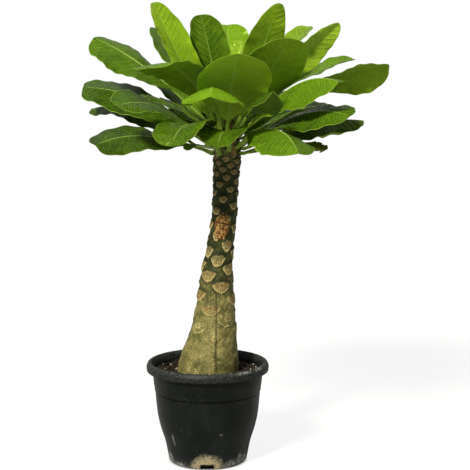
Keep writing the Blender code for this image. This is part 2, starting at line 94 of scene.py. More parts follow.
def unit(vector: Array) -> Array:
    """The vectors along the last axis, each made one long."""
    return vector / np.maximum(np.linalg.norm(vector, axis=-1, keepdims=True), 1e-12)


def bell(value: Array, width: Array | float) -> Array:
    """Bell curve, 1 at zero and falling to a third at the width."""
    return np.exp(-((value / width) ** 2))


def turn_apart(angle: Array, other: Array | float) -> Array:
    """Signed angle from the other direction to the first, from -pi to pi."""
    return np.mod(angle - other + math.pi, FULL_TURN) - math.pi


def through(x: Array | float, knots: tuple, values: tuple) -> Array:
    """Cubic curve through the knots, each slope taken from the knot's neighbours.

    Args:
        x: Places to work the curve out at.
        knots: Rising places that have a known value.
        values: The value at each knot.

    Returns:
        The curve's value at each place.
    """
    knots = np.asarray(knots, dtype=float)
    values = np.asarray(values, dtype=float)
    slopes = np.gradient(values, knots)
    x = np.clip(x, knots[0], knots[-1])
    k = np.clip(np.searchsorted(knots, x, side="right") - 1, 0, len(knots) - 2)
    step = knots[k + 1] - knots[k]
    t = (x - knots[k]) / step
    start = values[k] * (1 + 2 * t) * (1 - t) ** 2 + slopes[k] * step * t * (1 - t) ** 2
    finish = values[k + 1] * t * t * (3 - 2 * t) + slopes[k + 1] * step * t * t * (t - 1)
    return start + finish


def ripple(points: Array, size: float, seed: int, waves: int = 14) -> Array:
    """Soft seeded noise: the sum of plane waves in random directions, about -1 to 1.

    Args:
        points: Places, with their coordinates along the last axis.
        size: Length of the waves in metres.
        seed: Seed of the directions and phases.
        waves: How many waves are added up.

    Returns:
        The noise at each place.
    """
    draw = np.random.default_rng(seed)
    ways = unit(draw.normal(size=(waves, points.shape[-1]))) * (FULL_TURN / size)
    ways = ways * draw.uniform(0.6, 1.5, (waves, 1))
    total = np.sin(points @ ways.T + draw.uniform(0, FULL_TURN, waves)).sum(axis=-1)
    return total * math.sqrt(2 / waves) / 1.6


@dataclass(frozen=True)
class Spot:
    """A spot on a round surface: its turn from the front in degrees, height, half width and half height."""

    turn: float
    height: float
    wide: float
    tall: float
    strength: float = 1.0

    def away(self, angle: Array, height: Array, radius: Array) -> Array:
        """Distance of each place from the spot's middle, in halves of the spot's size."""
        across = turn_apart(angle, FRONT + math.radians(self.turn)) * radius
        return np.hypot(across / self.wide, (height - self.height) / self.tall)


# Meshes


@dataclass
class Skin:
    """A surface in the making: points, arrays of faces, and named values at the points."""

    points: Array
    faces: list[Array]
    values: dict[str, Array] = field(default_factory=dict)

    def mesh(self, name: str, sharp: float | None = None) -> bpy.types.Mesh:
        """Put the arrays into a mesh.

        Args:
            name: The mesh's name.
            sharp: Angle in degrees past which an edge stays sharp, if any does.

        Returns:
            The smooth-shaded mesh, with the named values as its attributes.
        """
        mesh = bpy.data.meshes.new(name)
        sizes = np.concatenate([np.full(len(f), f.shape[1]) for f in self.faces])
        corners = np.concatenate([f.ravel() for f in self.faces]).astype(np.int32)
        mesh.vertices.add(len(self.points))
        mesh.vertices.foreach_set("co", self.points.astype(np.float32).ravel())
        mesh.loops.add(len(corners))
        mesh.loops.foreach_set("vertex_index", corners)
        mesh.polygons.add(len(sizes))
        mesh.polygons.foreach_set("loop_start", (np.cumsum(sizes) - sizes).astype(np.int32))
        mesh.update(calc_edges=True)
        for key, value in self.values.items():
            kind, part = ("FLOAT", "value") if value.ndim == 1 else ("FLOAT_VECTOR", "vector")
            attribute = mesh.attributes.new(key, kind, "POINT")
            attribute.data.foreach_set(part, value.astype(np.float32).ravel())
        mesh.validate()
        mesh.shade_smooth()
        if sharp is not None:
            mesh.set_sharp_from_angle(angle=math.radians(sharp))
        return mesh


def closed_rings(rings: Array, first: Array, last: Array, values: dict[str, Array] | None = None) -> Skin:
    """Closed surface from rings of points, each end drawn together to one point, with its faces outward.

    Args:
        rings: Points by ring and by place on the ring, with their coordinates last.
        first: Point that closes the first ring.
        last: Point that closes the last ring.
        values: Named values by ring and place.

    Returns:
        The surface. Each end point's value is the mean of the ring next to it.
    """
    count, around = rings.shape[:2]
    points = np.concatenate([first[None], rings.reshape(-1, 3), last[None]])
    index = 1 + np.arange(count * around).reshape(count, around)
    after = np.roll(index, -1, axis=1)
    sides = np.stack([index[:-1], after[:-1], after[1:], index[1:]], axis=-1).reshape(-1, 4)
    foot = np.stack([np.zeros(around, dtype=int), after[0], index[0]], axis=-1)
    top = np.stack([index[-1], after[-1], np.full(around, len(points) - 1)], axis=-1)
    # A closed surface whose faces point inward has a negative volume
    halves = np.concatenate([sides[:, :3], sides[:, [0, 2, 3]], foot, top])
    a, b, c = (points - points.mean(axis=0))[halves.T]
    faces = [sides, foot, top]
    if np.einsum("ij,ij->i", a, np.cross(b, c)).sum() < 0:
        faces = [f[:, ::-1] for f in faces]
    named = {}
    for key, value in (values or {}).items():
        flat = value.reshape(count * around, *value.shape[2:])
        named[key] = np.concatenate([value[0].mean(axis=0)[None], flat, value[-1].mean(axis=0)[None]])
    return Skin(points, faces, named)


def turned(profile: Array, sides: int) -> tuple[Array, Array]:
    """Rings of a turned shape: each (radius, height) of the profile carried round the upright axis.

    Args:
        profile: Radius and height of each ring.
        sides: Points round each ring.

    Returns:
        The rings' points, and the angle of each place on a ring.
    """
    angle = np.arange(sides) * (FULL_TURN / sides)
    radius, height = profile[:, 0, None], profile[:, 1, None]
    spread = [radius * np.cos(angle), radius * np.sin(angle), height + 0 * angle]
    return np.stack(spread, axis=-1), np.broadcast_to(angle, (len(profile), sides))


def linked(name: str, data: bpy.types.ID) -> bpy.types.Object:
    """Make an object of a mesh, a light or a camera and put it in the scene."""
    made = bpy.data.objects.new(name, data)
    bpy.context.scene.collection.objects.link(made)
    return made


def show(mesh: bpy.types.Mesh, material: bpy.types.Material, slot: Slot, *nodes: str) -> None:
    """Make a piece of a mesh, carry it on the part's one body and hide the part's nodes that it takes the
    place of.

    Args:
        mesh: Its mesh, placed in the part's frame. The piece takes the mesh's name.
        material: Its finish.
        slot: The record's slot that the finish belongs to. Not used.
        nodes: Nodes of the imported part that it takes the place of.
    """
    mesh.materials.clear()
    mesh.materials.append(material)
    piece = linked(mesh.name, mesh)
    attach(piece, "root")
    if nodes:
        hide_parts(*nodes)
    LOG.info("%s: %d faces", piece.name, len(mesh.polygons))


# Finishes


class Signal:
    """Output of a shader node, which is added, taken from a number, multiplied and divided like one."""

    def __init__(self, paint: "Paint", socket: bpy.types.NodeSocket) -> None:
        """Keep the output, and the paint that wires what is worked out from it."""
        self.paint = paint
        self.socket = socket

    def __add__(self, other: "Value") -> "Signal":
        """The sum."""
        return self.paint.math("ADD", self, other)

    def __rsub__(self, other: float) -> "Signal":
        """The difference from a number."""
        return self.paint.math("SUBTRACT", other, self)

    def __mul__(self, other: "Value") -> "Signal":
        """The product."""
        return self.paint.math("MULTIPLY", self, other)

    def __truediv__(self, other: "Value") -> "Signal":
        """The quotient."""
        return self.paint.math("DIVIDE", self, other)

    __radd__ = __add__
    __rmul__ = __mul__


Value = Signal | float


class Paint:
    """One Principled material, painted coat by coat out of shader nodes."""

    def __init__(self, name: str) -> None:
        """Start the material under its name, with nothing on it."""
        self.material = bpy.data.materials.new(name)
        self.material.use_nodes = True
        self.tree = self.material.node_tree
        self.shader = self.tree.nodes["Principled BSDF"]
        self.place = self.node("ShaderNodeTexCoord", {}, "Object")
        self.colour: Signal | Colour = (0.0, 0.0, 0.0)

    def feed(self, socket: bpy.types.NodeSocket, value: Value | tuple) -> None:
        """Link a socket to a signal, or set it to a number, a colour or a vector.

        Args:
            socket: The input to fill.
            value: What fills it.
        """
        if isinstance(value, Signal):
            self.tree.links.new(value.socket, socket)
        elif isinstance(value, tuple):
            socket.default_value = (*value, 1.0) if len(socket.default_value) == 4 else value
        else:
            socket.default_value = value

    def node(self, kind: str, inputs: dict, output: int | str = 0, **settings: str) -> Signal:
        """Add a node.

        Args:
            kind: Blender's name of the node's type.
            inputs: What fills each input, by the input's number or name.
            output: Number or name of the output to take.
            settings: Properties to set on the node.

        Returns:
            The output.
        """
        node = self.tree.nodes.new(kind)
        for key, value in settings.items():
            setattr(node, key, value)
        for key, value in inputs.items():
            self.feed(node.inputs[key], value)
        return Signal(self, node.outputs[output])

    def math(self, operation: str, *values: Value) -> Signal:
        """One step of arithmetic, by Blender's name of the operation."""
        return self.node("ShaderNodeMath", dict(enumerate(values)), operation=operation)

    def most(self, *values: Value) -> Signal:
        """The larger of two values."""
        return self.math("MAXIMUM", *values)

    def rise(self, value: Value, low: float, high: float) -> Signal:
        """Smooth step up, from 0 at low to 1 at high."""
        ends = dict(enumerate((value, low, high, 0.0, 1.0)))
        return self.node("ShaderNodeMapRange", ends, interpolation_type="SMOOTHSTEP")

    def fall(self, value: Value, low: float, high: float) -> Signal:
        """Smooth step down, from 1 at low to 0 at high."""
        ends = dict(enumerate((value, low, high, 1.0, 0.0)))
        return self.node("ShaderNodeMapRange", ends, interpolation_type="SMOOTHSTEP")

    def mix(self, share: Value, low: Signal | Colour, high: Signal | Colour) -> Signal:
        """Blend of two colours: a share of 0 gives the first, and of 1 the second."""
        return self.node("ShaderNodeMix", {0: share, 6: low, 7: high}, 2, data_type="RGBA")

    def coat(self, colour: Signal | Colour, share: Value) -> None:
        """Lay a colour over what is there, by its share."""
        self.colour = self.mix(share, self.colour, colour)

    def value(self, name: str) -> Signal:
        """A named value of the mesh's points."""
        return self.node("ShaderNodeAttribute", {}, "Fac", attribute_name=name)

    def stretched(self, *factors: float) -> Signal:
        """Object coordinates with each axis multiplied by its factor."""
        return self.node("ShaderNodeMapping", {"Vector": self.place, "Scale": factors})

    def noise(
        self, scale: float, detail: float = 3.0, rough: float = 0.55, at: Signal | None = None
    ) -> Signal:
        """Fractal noise from about 0.3 to 0.7.

        Args:
            scale: Features per metre.
            detail: Octaves.
            rough: Weight of the finer octaves.
            at: Coordinates, the object's own if left out.

        Returns:
            The noise.
        """
        inputs = {"Vector": at or self.place, "Scale": scale, "Detail": detail, "Roughness": rough}
        return self.node("ShaderNodeTexNoise", inputs, "Fac")

    def patches(self, low: float, high: float, *noise: float | Signal) -> Signal:
        """Patches where noise is above a level: 0 below low, 1 above high. The rest is as for noise."""
        return self.rise(self.noise(*noise), low, high)

    def warped(self, scale: float, reach: float) -> Signal:
        """Object coordinates pushed about by noise of a scale, as far as the reach in metres."""
        push = self.node("ShaderNodeTexNoise", {"Vector": self.place, "Scale": scale}, "Color")
        terms = {0: push, 1: (reach,) * 3, 2: self.place}
        return self.node("ShaderNodeVectorMath", terms, operation="MULTIPLY_ADD")

    def cells(self, scale: float, feature: str = "F1", at: Signal | None = None) -> Signal:
        """Voronoi distance in cells.

        Args:
            scale: Cells per metre.
            feature: F1 from the cells' middles, or DISTANCE_TO_EDGE from the lines between them.
            at: Coordinates, the object's own if left out.

        Returns:
            The distance, as a share of a cell.
        """
        inputs = {"Vector": at or self.place, "Scale": scale}
        return self.node("ShaderNodeTexVoronoi", inputs, "Distance", feature=feature)

    def dots(self, scale: float, low: float, high: float) -> Signal:
        """Round dots, one in each cell, whole up to low from its middle and gone at high."""
        return self.fall(self.cells(scale), low, high)

    def bump(self, *layers: tuple[Value, float, float]) -> None:
        """Bump the surface by layers of height.

        Args:
            layers: Height, strength and depth in metres of each layer, the coarsest first.
        """
        normal = {}
        for height, strength, depth in layers:
            inputs = {"Height": height, "Strength": strength, "Distance": depth, **normal}
            normal = {"Normal": self.node("ShaderNodeBump", inputs)}
        self.feed(self.shader.inputs["Normal"], normal["Normal"])

    def finish(self, rough: Value, **constants: Value | tuple) -> bpy.types.Material:
        """Wire the coats and the roughness, and fill the shader's other inputs.

        Args:
            rough: Roughness.
            constants: What fills each other input, with its name's spaces written as underscores.

        Returns:
            The finished material.
        """
        inputs = {"Base Color": self.colour, "Roughness": rough}
        inputs |= {key.replace("_", " "): value for key, value in constants.items()}
        for key, value in inputs.items():
            self.feed(self.shader.inputs[key], value)
        return self.material


@dataclass(frozen=True)
class LeafFinish:
    """Waxy upper face with pale veins, and a paler matt underside with raised ones, its paleness partly its
    own and partly painted light shining through the blade.
    """

    name: str
    upper_dark: Colour
    upper_light: Colour
    under_dark: Colour
    under_light: Colour
    vein: Colour
    margin: Colour
    wilt: Colour = (0.075, 0.058, 0.014)

    def make(self) -> bpy.types.Material:
        """Wire the finish, from the lamina's own coordinates and the values under, wilt and tint.

        Returns:
            The material.
        """
        paint = Paint(self.name)
        lamina = paint.node("ShaderNodeAttribute", {}, "Vector", attribute_name="lamina")
        across, phase, along = (paint.node("ShaderNodeSeparateXYZ", {0: lamina}, axis) for axis in "XYZ")
        out = paint.math("ABSOLUTE", across)
        under = paint.rise(paint.value("under"), 0.3, 0.7)
        tint = paint.value("tint")
        # Side veins are thin lines at each whole phase, fainter ones lie between, and all fade outward
        main = paint.fall(paint.math("PINGPONG", phase, 0.5), 0.02, 0.10)
        between = paint.fall(paint.math("PINGPONG", phase + 0.5, 0.5), 0.02, 0.08) * 0.42
        veins = paint.most(main, between) * paint.fall(out, 0.72, 0.95) * paint.rise(along, 0.0, 0.08)
        # The midrib narrows towards the tip
        midrib = paint.rise(1.0 - out / (0.054 - 0.032 * along), 0.0, 0.5)
        net = paint.fall(paint.cells(420.0, "DISTANCE_TO_EDGE"), 0.0, 0.11)
        cloud = paint.patches(0.33, 0.68, 16.0, 4.0)
        mottle = paint.patches(0.36, 0.64, 95.0, 4.0, 0.65)
        # Lightness is partly each leaf's own tint and partly painted shade on leaves in shadow and painted
        # sheen on bright ones
        share = tint + 0.26 * cloud + 0.16 * mottle
        upper = paint.mix(share, self.upper_dark, self.upper_light)
        # The underside's paler colours are partly its own and partly painted light shining through the blade
        lower = paint.mix(share, self.under_dark, self.under_light)
        petiole = paint.fall(along, -0.06, 0.02)
        specks = paint.patches(0.70, 0.76, 230.0, 2.0, 0.7)
        paint.coat(upper, 1.0)
        paint.coat(lower, under)
        paint.coat(self.vein, veins * (0.18 + 0.16 * tint))
        paint.coat(self.vein, 0.07 * net)
        paint.coat(self.vein, midrib * (0.90 - 0.40 * under))
        paint.coat(self.vein, 0.30 * petiole)
        paint.coat(self.margin, 0.75 * paint.rise(out, 0.965, 0.992))
        paint.coat(self.wilt, paint.most(paint.value("wilt"), 0.55 * specks))
        paint.bump(
            (veins + midrib, 0.60, 0.0006),
            (paint.noise(38.0, 2.0, 0.4), 0.16, 0.0030),
            (net, 0.18, 0.0002),
            (paint.noise(900.0, 2.0), 0.12, 0.0002),
        )
        return paint.finish(
            0.17 + 0.20 * paint.noise(60.0) + 0.14 * under,
            Subsurface_Weight=0.40,
            Subsurface_Radius=(0.0010, 0.0016, 0.0002),
            Subsurface_Scale=1.0,
            Specular_IOR_Level=0.30,
            Specular_Tint=(0.75, 0.95, 0.20),
        )


LEAF_FINISHES = {
    Slot.LEAF_OLD: LeafFinish(
        "leaf_old",
        upper_dark=(0.018, 0.049, 0.001),
        upper_light=(0.138, 0.268, 0.004),
        under_dark=(0.048, 0.100, 0.001),
        under_light=(0.280, 0.440, 0.012),
        vein=(0.360, 0.540, 0.095),
        margin=(0.220, 0.320, 0.040),
    ),
    Slot.LEAF_FULL: LeafFinish(
        "leaf_full",
        upper_dark=(0.020, 0.056, 0.001),
        upper_light=(0.158, 0.310, 0.004),
        under_dark=(0.046, 0.112, 0.001),
        under_light=(0.310, 0.505, 0.014),
        vein=(0.440, 0.640, 0.130),
        margin=(0.300, 0.430, 0.060),
    ),
    Slot.LEAF_YOUNG: LeafFinish(
        "leaf_young",
        upper_dark=(0.090, 0.175, 0.002),
        upper_light=(0.260, 0.430, 0.012),
        under_dark=(0.120, 0.220, 0.003),
        under_light=(0.360, 0.540, 0.025),
        vein=(0.580, 0.720, 0.230),
        margin=(0.330, 0.470, 0.070),
    ),
}


@dataclass(frozen=True)
class StemFinish:
    """Fleshy bark, green-black at the top, partly its own dark green and partly painted shade under the
    crown, and speckled khaki at the foot, with corky leaf scars.
    """

    name: str = "scarred_bark"
    high_dark: Colour = (0.009, 0.016, 0.003)
    high_light: Colour = (0.066, 0.074, 0.015)
    low_dark: Colour = (0.085, 0.088, 0.022)
    low_light: Colour = (0.265, 0.236, 0.078)
    cork: Colour = (0.130, 0.080, 0.018)
    cork_high: Colour = (0.080, 0.078, 0.026)
    grit: Colour = (0.160, 0.090, 0.022)
    cream: Colour = (0.700, 0.560, 0.230)
    green: Colour = (0.014, 0.024, 0.005)
    yellow: Colour = (0.640, 0.470, 0.120)
    rust: Colour = (0.300, 0.110, 0.018)
    sore_dark: Colour = (0.045, 0.010, 0.003)
    sore_light: Colour = (0.480, 0.290, 0.085)

    def make(self) -> bpy.types.Material:
        """Wire the finish, from the values age, cork, rim, core, halo, crack, wound, dots and specks.

        Returns:
            The material.
        """
        paint = Paint(self.name)
        age, wound, rim = (paint.value(key) for key in ("age", "wound", "rim"))
        cloud = paint.patches(0.34, 0.68, 70.0, 5.0, 0.65)
        cream_grain = paint.patches(0.55, 0.66, 620.0, 3.0, 0.7)
        grit_grain = paint.patches(0.54, 0.66, 430.0, 3.0, 0.65)
        gathered = paint.dots(360.0, 0.14, 0.26) * paint.patches(0.46, 0.62, 55.0, 3.0, 0.6)
        corky = paint.mix(paint.rise(age, 0.0, 0.35), self.cork_high, self.cork)
        corky = paint.mix(0.22 * paint.patches(0.40, 0.60, 560.0, 3.0, 0.7), corky, self.cream)
        corky = paint.mix(0.75 * paint.patches(0.54, 0.64, 480.0, 3.0, 0.7), corky, self.grit)
        dots = paint.most(paint.value("dots"), paint.value("specks") * paint.dots(430.0, 0.22, 0.36))
        knots = paint.cells(250.0, "DISTANCE_TO_EDGE", paint.warped(90.0, 0.004))
        sore = paint.mix(paint.rise(knots, 0.02, 0.30), self.sore_dark, self.rust)
        sore = paint.mix(paint.patches(0.42, 0.62, 330.0, 4.0, 0.6), sore, self.sore_light)
        # The upper bark's green-black is partly its own dark green and partly painted shade under the crown
        paint.coat(paint.mix(cloud, self.high_dark, self.high_light), 1.0)
        paint.coat(paint.mix(cloud, self.low_dark, self.low_light), age)
        paint.coat(self.cream, cream_grain * (0.06 + 0.44 * age))
        paint.coat(self.grit, 0.50 * grit_grain * age)
        paint.coat(self.yellow, 0.75 * gathered * age)
        # Painted shade round the upper scars, where their overhang would shade the bark
        paint.coat(self.high_dark, 0.85 * paint.value("halo"))
        paint.coat(corky, paint.value("cork"))
        paint.coat(self.rust, paint.value("core") * paint.patches(0.36, 0.56, 400.0))
        paint.coat(self.cream, rim)
        paint.coat(self.cream, dots)
        paint.coat(sore, wound)
        # Painted shade: the crack is drawn as a dark line in its recess
        paint.coat(self.green, paint.value("crack"))
        paint.bump(
            (paint.noise(170.0, 4.0, 0.6), 0.55, 0.0011),
            (paint.most(dots, rim), 0.45, 0.0006),
            (paint.noise(640.0, 3.0, 0.65), 0.50, 0.0005),
            (knots * wound, 0.8, 0.0016),
        )
        return paint.finish(0.42 + 0.30 * paint.noise(140.0), Specular_IOR_Level=0.16)


@dataclass(frozen=True)
class SoilFinish:
    """Damp dark potting mix with pale fibres."""

    name: str = "potting_mix"
    dark: Colour = (0.006, 0.004, 0.003)
    light: Colour = (0.012, 0.009, 0.006)
    fibre: Colour = (0.026, 0.017, 0.010)

    def make(self) -> bpy.types.Material:
        """Wire the finish: clods and fibres by noise at three sizes.

        Returns:
            The material.
        """
        paint = Paint(self.name)
        fibres = paint.patches(0.58, 0.70, 900.0, 3.0, 0.7, paint.stretched(1.0, 0.35, 1.0))
        paint.coat(self.dark, 1.0)
        paint.coat(self.light, paint.patches(0.38, 0.68, 160.0, 6.0, 0.7))
        paint.coat(self.fibre, 0.6 * fibres)
        paint.bump((paint.noise(260.0, 5.0, 0.7), 0.9, 0.0020), (paint.noise(1100.0, 3.0), 0.6, 0.0006))
        return paint.finish(0.68 + 0.30 * paint.noise(300.0), Specular_IOR_Level=0.25)


@dataclass(frozen=True)
class GrainFinish:
    """Loose pitted grains, each with its own share between two colours."""

    name: str
    dark: Colour
    light: Colour
    pit: float

    def make(self) -> bpy.types.Material:
        """Wire the finish, from the value shade of each grain.

        Returns:
            The material.
        """
        paint = Paint(self.name)
        share = 0.65 * paint.value("shade") + 0.45 * paint.patches(0.35, 0.68, 700.0, 4.0, 0.65)
        pits = paint.dots(1500.0, 0.10, 0.45)
        paint.coat(paint.mix(share, self.dark, self.light), 1.0)
        paint.coat(self.dark, 0.5 * pits)
        paint.bump((1.0 - pits, self.pit, 0.0004), (paint.noise(2600.0, 2.0), 0.4, 0.0002))
        return paint.finish(0.72 + 0.20 * paint.noise(500.0), Specular_IOR_Level=0.25)


BARK = GrainFinish("bark_crumb", (0.004, 0.003, 0.002), (0.044, 0.024, 0.012), 0.5)
WHITE_GRAIN = GrainFinish("white_grain", (0.300, 0.250, 0.160), (0.700, 0.640, 0.500), 0.8)


@dataclass(frozen=True)
class PotFinish:
    """Charcoal moulded plastic with dust on its lip, scuffs, and a mineral stain at its drain."""

    name: str = "charcoal_plastic"
    dark: Colour = (0.0026, 0.0046, 0.0036)
    light: Colour = (0.0070, 0.0098, 0.0080)
    shadow: Colour = (0.0010, 0.0010, 0.0010)
    dust: Colour = (0.1150, 0.1180, 0.1080)
    scuff: Colour = (0.4000, 0.4000, 0.3500)
    stain_inner: Colour = (0.4200, 0.3350, 0.1950)
    stain_outer: Colour = (0.1700, 0.1600, 0.1050)

    def make(self) -> bpy.types.Material:
        """Wire the finish, from the values dust, scuff, stain and groove.

        Returns:
            The material.
        """
        paint = Paint(self.name)
        rubbed = paint.patches(0.48, 0.72, 90.0, 4.0, 0.65, paint.stretched(1.0, 1.0, 0.25))
        film = paint.value("dust") * paint.patches(0.34, 0.68, 330.0, 5.0, 0.7)
        flecks = paint.dots(230.0, 0.06, 0.11) * paint.patches(0.57, 0.66, 38.0, 2.0)
        marks = paint.value("scuff") * paint.patches(0.42, 0.58, 380.0, 4.0, 0.75)
        stain = paint.value("stain")
        tone = paint.mix(paint.rise(stain, 0.45, 0.85), self.stain_outer, self.stain_inner)
        cover = paint.rise(stain, 0.10, 0.55) * (0.3 + 0.7 * paint.patches(0.34, 0.56, 420.0, 4.0, 0.7))
        paint.coat(self.dark, 1.0)
        paint.coat(self.light, paint.patches(0.34, 0.68, 22.0, 4.0))
        paint.coat(self.dust, 0.048 * rubbed)
        paint.coat(self.dust, 0.62 * film)
        paint.coat(self.scuff, 0.35 * flecks)
        paint.coat(self.scuff, marks)
        paint.coat(self.shadow, paint.value("groove"))
        paint.coat(tone, cover)
        spread = paint.math("MINIMUM", film + marks + cover, 1.0)
        paint.bump(
            (paint.noise(75.0, 3.0, 0.5, paint.stretched(1.0, 1.0, 0.3)), 0.25, 0.0006),
            (paint.noise(1500.0, 2.0), 0.10, 0.0002),
            (spread, 0.30, 0.0002),
        )
        return paint.finish(0.26 + 0.24 * paint.noise(70.0, 4.0) + 0.35 * spread, Specular_IOR_Level=0.18)


@dataclass(frozen=True)
class FloorFinish:
    """Plain pale studio floor, lit from within for the camera, with a painted shadow under the pot where the
    glow is left out, and a dimmer reflector.
    """

    name: str = "studio_floor"
    bounce: float = 0.50
    shine: float = 0.87
    shaded: float = 0.15
    painted_shadow_reach: tuple = (0.047, 0.058)

    def make(self) -> bpy.types.Material:
        """Wire the finish.

        Returns:
            The material.
        """
        paint = Paint(self.name)
        camera = paint.node("ShaderNodeLightPath", {}, "Is Camera Ray")
        reach = paint.node("ShaderNodeVectorMath", {0: paint.place}, "Value", operation="LENGTH")
        paint.coat((self.bounce,) * 3, 1.0)
        paint.coat((self.shaded,) * 3, camera)
        # The glow fades out under the pot, a painted shadow there
        return paint.finish(
            0.9,
            Specular_IOR_Level=0.0,
            Emission_Color=(1.0, 1.0, 1.0),
            Emission_Strength=self.shine * camera * paint.rise(reach, *self.painted_shadow_reach),
        )


# Stem


@dataclass
class Stem:
    """The stem: a buried stub, a bottle-shaped trunk that leans to the right, and a growing head.

    The scars' numbers count along one spiral, and their heights and sizes follow curves through the
    knots given. The pairs of heights say where a look comes in: corky faces, dotted rims, rusty cores,
    and the green of the upper bark, painted darker there as shade under the crown. The crack is given
    by its heights and its turns in degrees, and its dark line is painted shade in it.
    """

    stub_radius: float = 0.0425
    stub_foot: float = 0.0900
    heights: tuple = (0.128, 0.148, 0.172, 0.198, 0.235, 0.268, 0.296, 0.337, 0.390, 0.428)
    shifts: tuple = (0.0, 0.0025, 0.0062, 0.0096, 0.0116, 0.0134, 0.0170, 0.0226, 0.0256, 0.0275)
    radii: tuple = (0.0425, 0.0397, 0.0340, 0.0290, 0.0245, 0.0207, 0.0180, 0.0169, 0.0168, 0.0185)
    head_base: tuple = (0.0275, 0.0, 0.428)
    head_radius: float = 0.0185
    head_height: float = 0.050
    leaf_places: int = 46
    scar_zero_turn: float = math.radians(31.0 - 90.0)
    leaf_zero_turn: float = math.radians(26.0 - 90.0)
    scar_numbers: tuple = (-55, -45, -29, -16, -8, 0, 5, 13, 18, 23, 28)
    scar_heights: tuple = (0.428, 0.4172, 0.3978, 0.3684, 0.341, 0.3048, 0.2847, 0.2484, 0.217, 0.192, 0.166)
    scar_widths: tuple = (0.010, 0.0105, 0.011, 0.012, 0.013, 0.015, 0.020, 0.026, 0.029, 0.029, 0.028)
    scar_talls: tuple = (0.008, 0.0085, 0.009, 0.0105, 0.0135, 0.018, 0.0185, 0.0175, 0.0175, 0.0165, 0.015)
    scar_raise: float = 0.0013
    mark_raise: float = 0.0010
    bead_pitch: float = 0.0030
    noise_radius: float = 0.03
    corky_from: tuple = (0.196, 0.222)
    dotted_to: tuple = (0.262, 0.300)
    rusty_from: tuple = (0.285, 0.325)
    green_from: tuple = (0.205, 0.300)
    crack: tuple = ((0.128, 0.150, 0.185, 0.215, 0.240), (17.0, 14.0, 8.0, 4.0, 2.0))
    crack_end: tuple = (0.232, 0.246)
    crack_half: float = 0.0008
    crack_deep: float = 0.0007
    speck_aside: float = 0.0030
    speck_spread: float = 0.0040
    unevenness: float = 0.0004
    sore: Spot = Spot(-8.0, 0.3300, 0.0110, 0.0170)
    sore_raise: float = 0.0006
    sore_knots: float = 0.0004
    specks: tuple = (
        Spot(-23.0, 0.1340, 0.0055, 0.0055),
        Spot(44.0, 0.1730, 0.0060, 0.0060),
        Spot(-40.0, 0.1390, 0.0080, 0.0080),
        Spot(20.0, 0.2080, 0.0050, 0.0050),
    )
    sides: int = 200
    rows: int = 440
    head_rings: int = 38

    def centre(self, height: Array) -> Array:
        """Sideways shift of the stem's middle at a height."""
        return through(height, self.heights, self.shifts)

    def radius(self, height: Array) -> Array:
        """Radius of the stem at a height, straight below the soil's top."""
        above = through(height, self.heights, self.radii)
        return np.where(height <= self.heights[0], self.stub_radius, above)

    def noise_place(self, angle: Array, height: Array) -> Array:
        """Places for noise: an upright cylinder, so that the noise closes round the stem."""
        x, y = np.cos(angle) * self.noise_radius, np.sin(angle) * self.noise_radius
        return np.stack([x, y, height], axis=-1)

    def leaf_place(self, number: float) -> tuple[Array, Array]:
        """Where a leaf grows: leaves wind up the head by the golden angle.

        Args:
            number: The leaf's place on the spiral, from the lowest.

        Returns:
            The point on the head, and the head's outward direction there.
        """
        share = (number + 0.5) / self.leaf_places
        lift = share ** 1.15 * 0.97
        ring = math.sqrt(1 - lift * lift)
        angle = self.leaf_zero_turn - (number + 1) * GOLDEN_ANGLE
        circle = np.array([math.cos(angle), math.sin(angle), 0.0])
        point = np.array(self.head_base) + circle * self.head_radius * ring + UPWARD * self.head_height * lift
        return point, unit(circle * ring / self.head_radius + UPWARD * lift / self.head_height)

    def nearest_scar(self, angle: Array, height: Array) -> tuple[Array, Array, Array]:
        """For each place, the scar of a fallen leaf that it is nearest to.

        Args:
            angle: Turn of each place round the stem.
            height: Its height.

        Returns:
            The place across and along that scar, each in halves of the scar's size, and its half width.
        """
        numbers = np.arange(self.scar_numbers[0], self.scar_numbers[-1] + 1)
        middles = through(numbers, self.scar_numbers, self.scar_heights)
        halves = through(numbers, self.scar_numbers, self.scar_widths) / 2
        talls = through(numbers, self.scar_numbers, self.scar_talls)
        turns = self.scar_zero_turn + numbers * GOLDEN_ANGLE
        across = turn_apart(angle[..., None], turns) * self.radius(height)[..., None] / halves
        along = (height[..., None] - middles) / (talls / 2)
        nearest = np.argmin(np.hypot(across, along), axis=-1)[..., None]
        across, along = (np.take_along_axis(grid, nearest, axis=-1)[..., 0] for grid in (across, along))
        return across, along, halves[nearest[..., 0]]

    def grid(self) -> tuple[Array, Array, Array]:
        """Angles, heights and inset of the trunk's rings, from the rounded buried foot to the head.

        Returns:
            Arrays of angle and height by ring and place, and how far each ring is drawn in.
        """
        bevel = [(0.0, 0.0065), (0.0007, 0.0035), (0.0015, 0.0020), (0.0030, 0.0006), (0.0050, 0.0)]
        buried = np.linspace(self.stub_foot + 0.012, self.heights[0] - 0.004, 5)
        seen = np.linspace(self.heights[0], self.head_base[2], self.rows)
        heights = np.concatenate([[self.stub_foot + z for z, _ in bevel], buried, seen])
        inset = np.zeros(len(heights))
        inset[:len(bevel)] = [d for _, d in bevel]
        angle, height = np.meshgrid(np.arange(self.sides) * (FULL_TURN / self.sides), heights)
        return angle, height, inset[:, None]

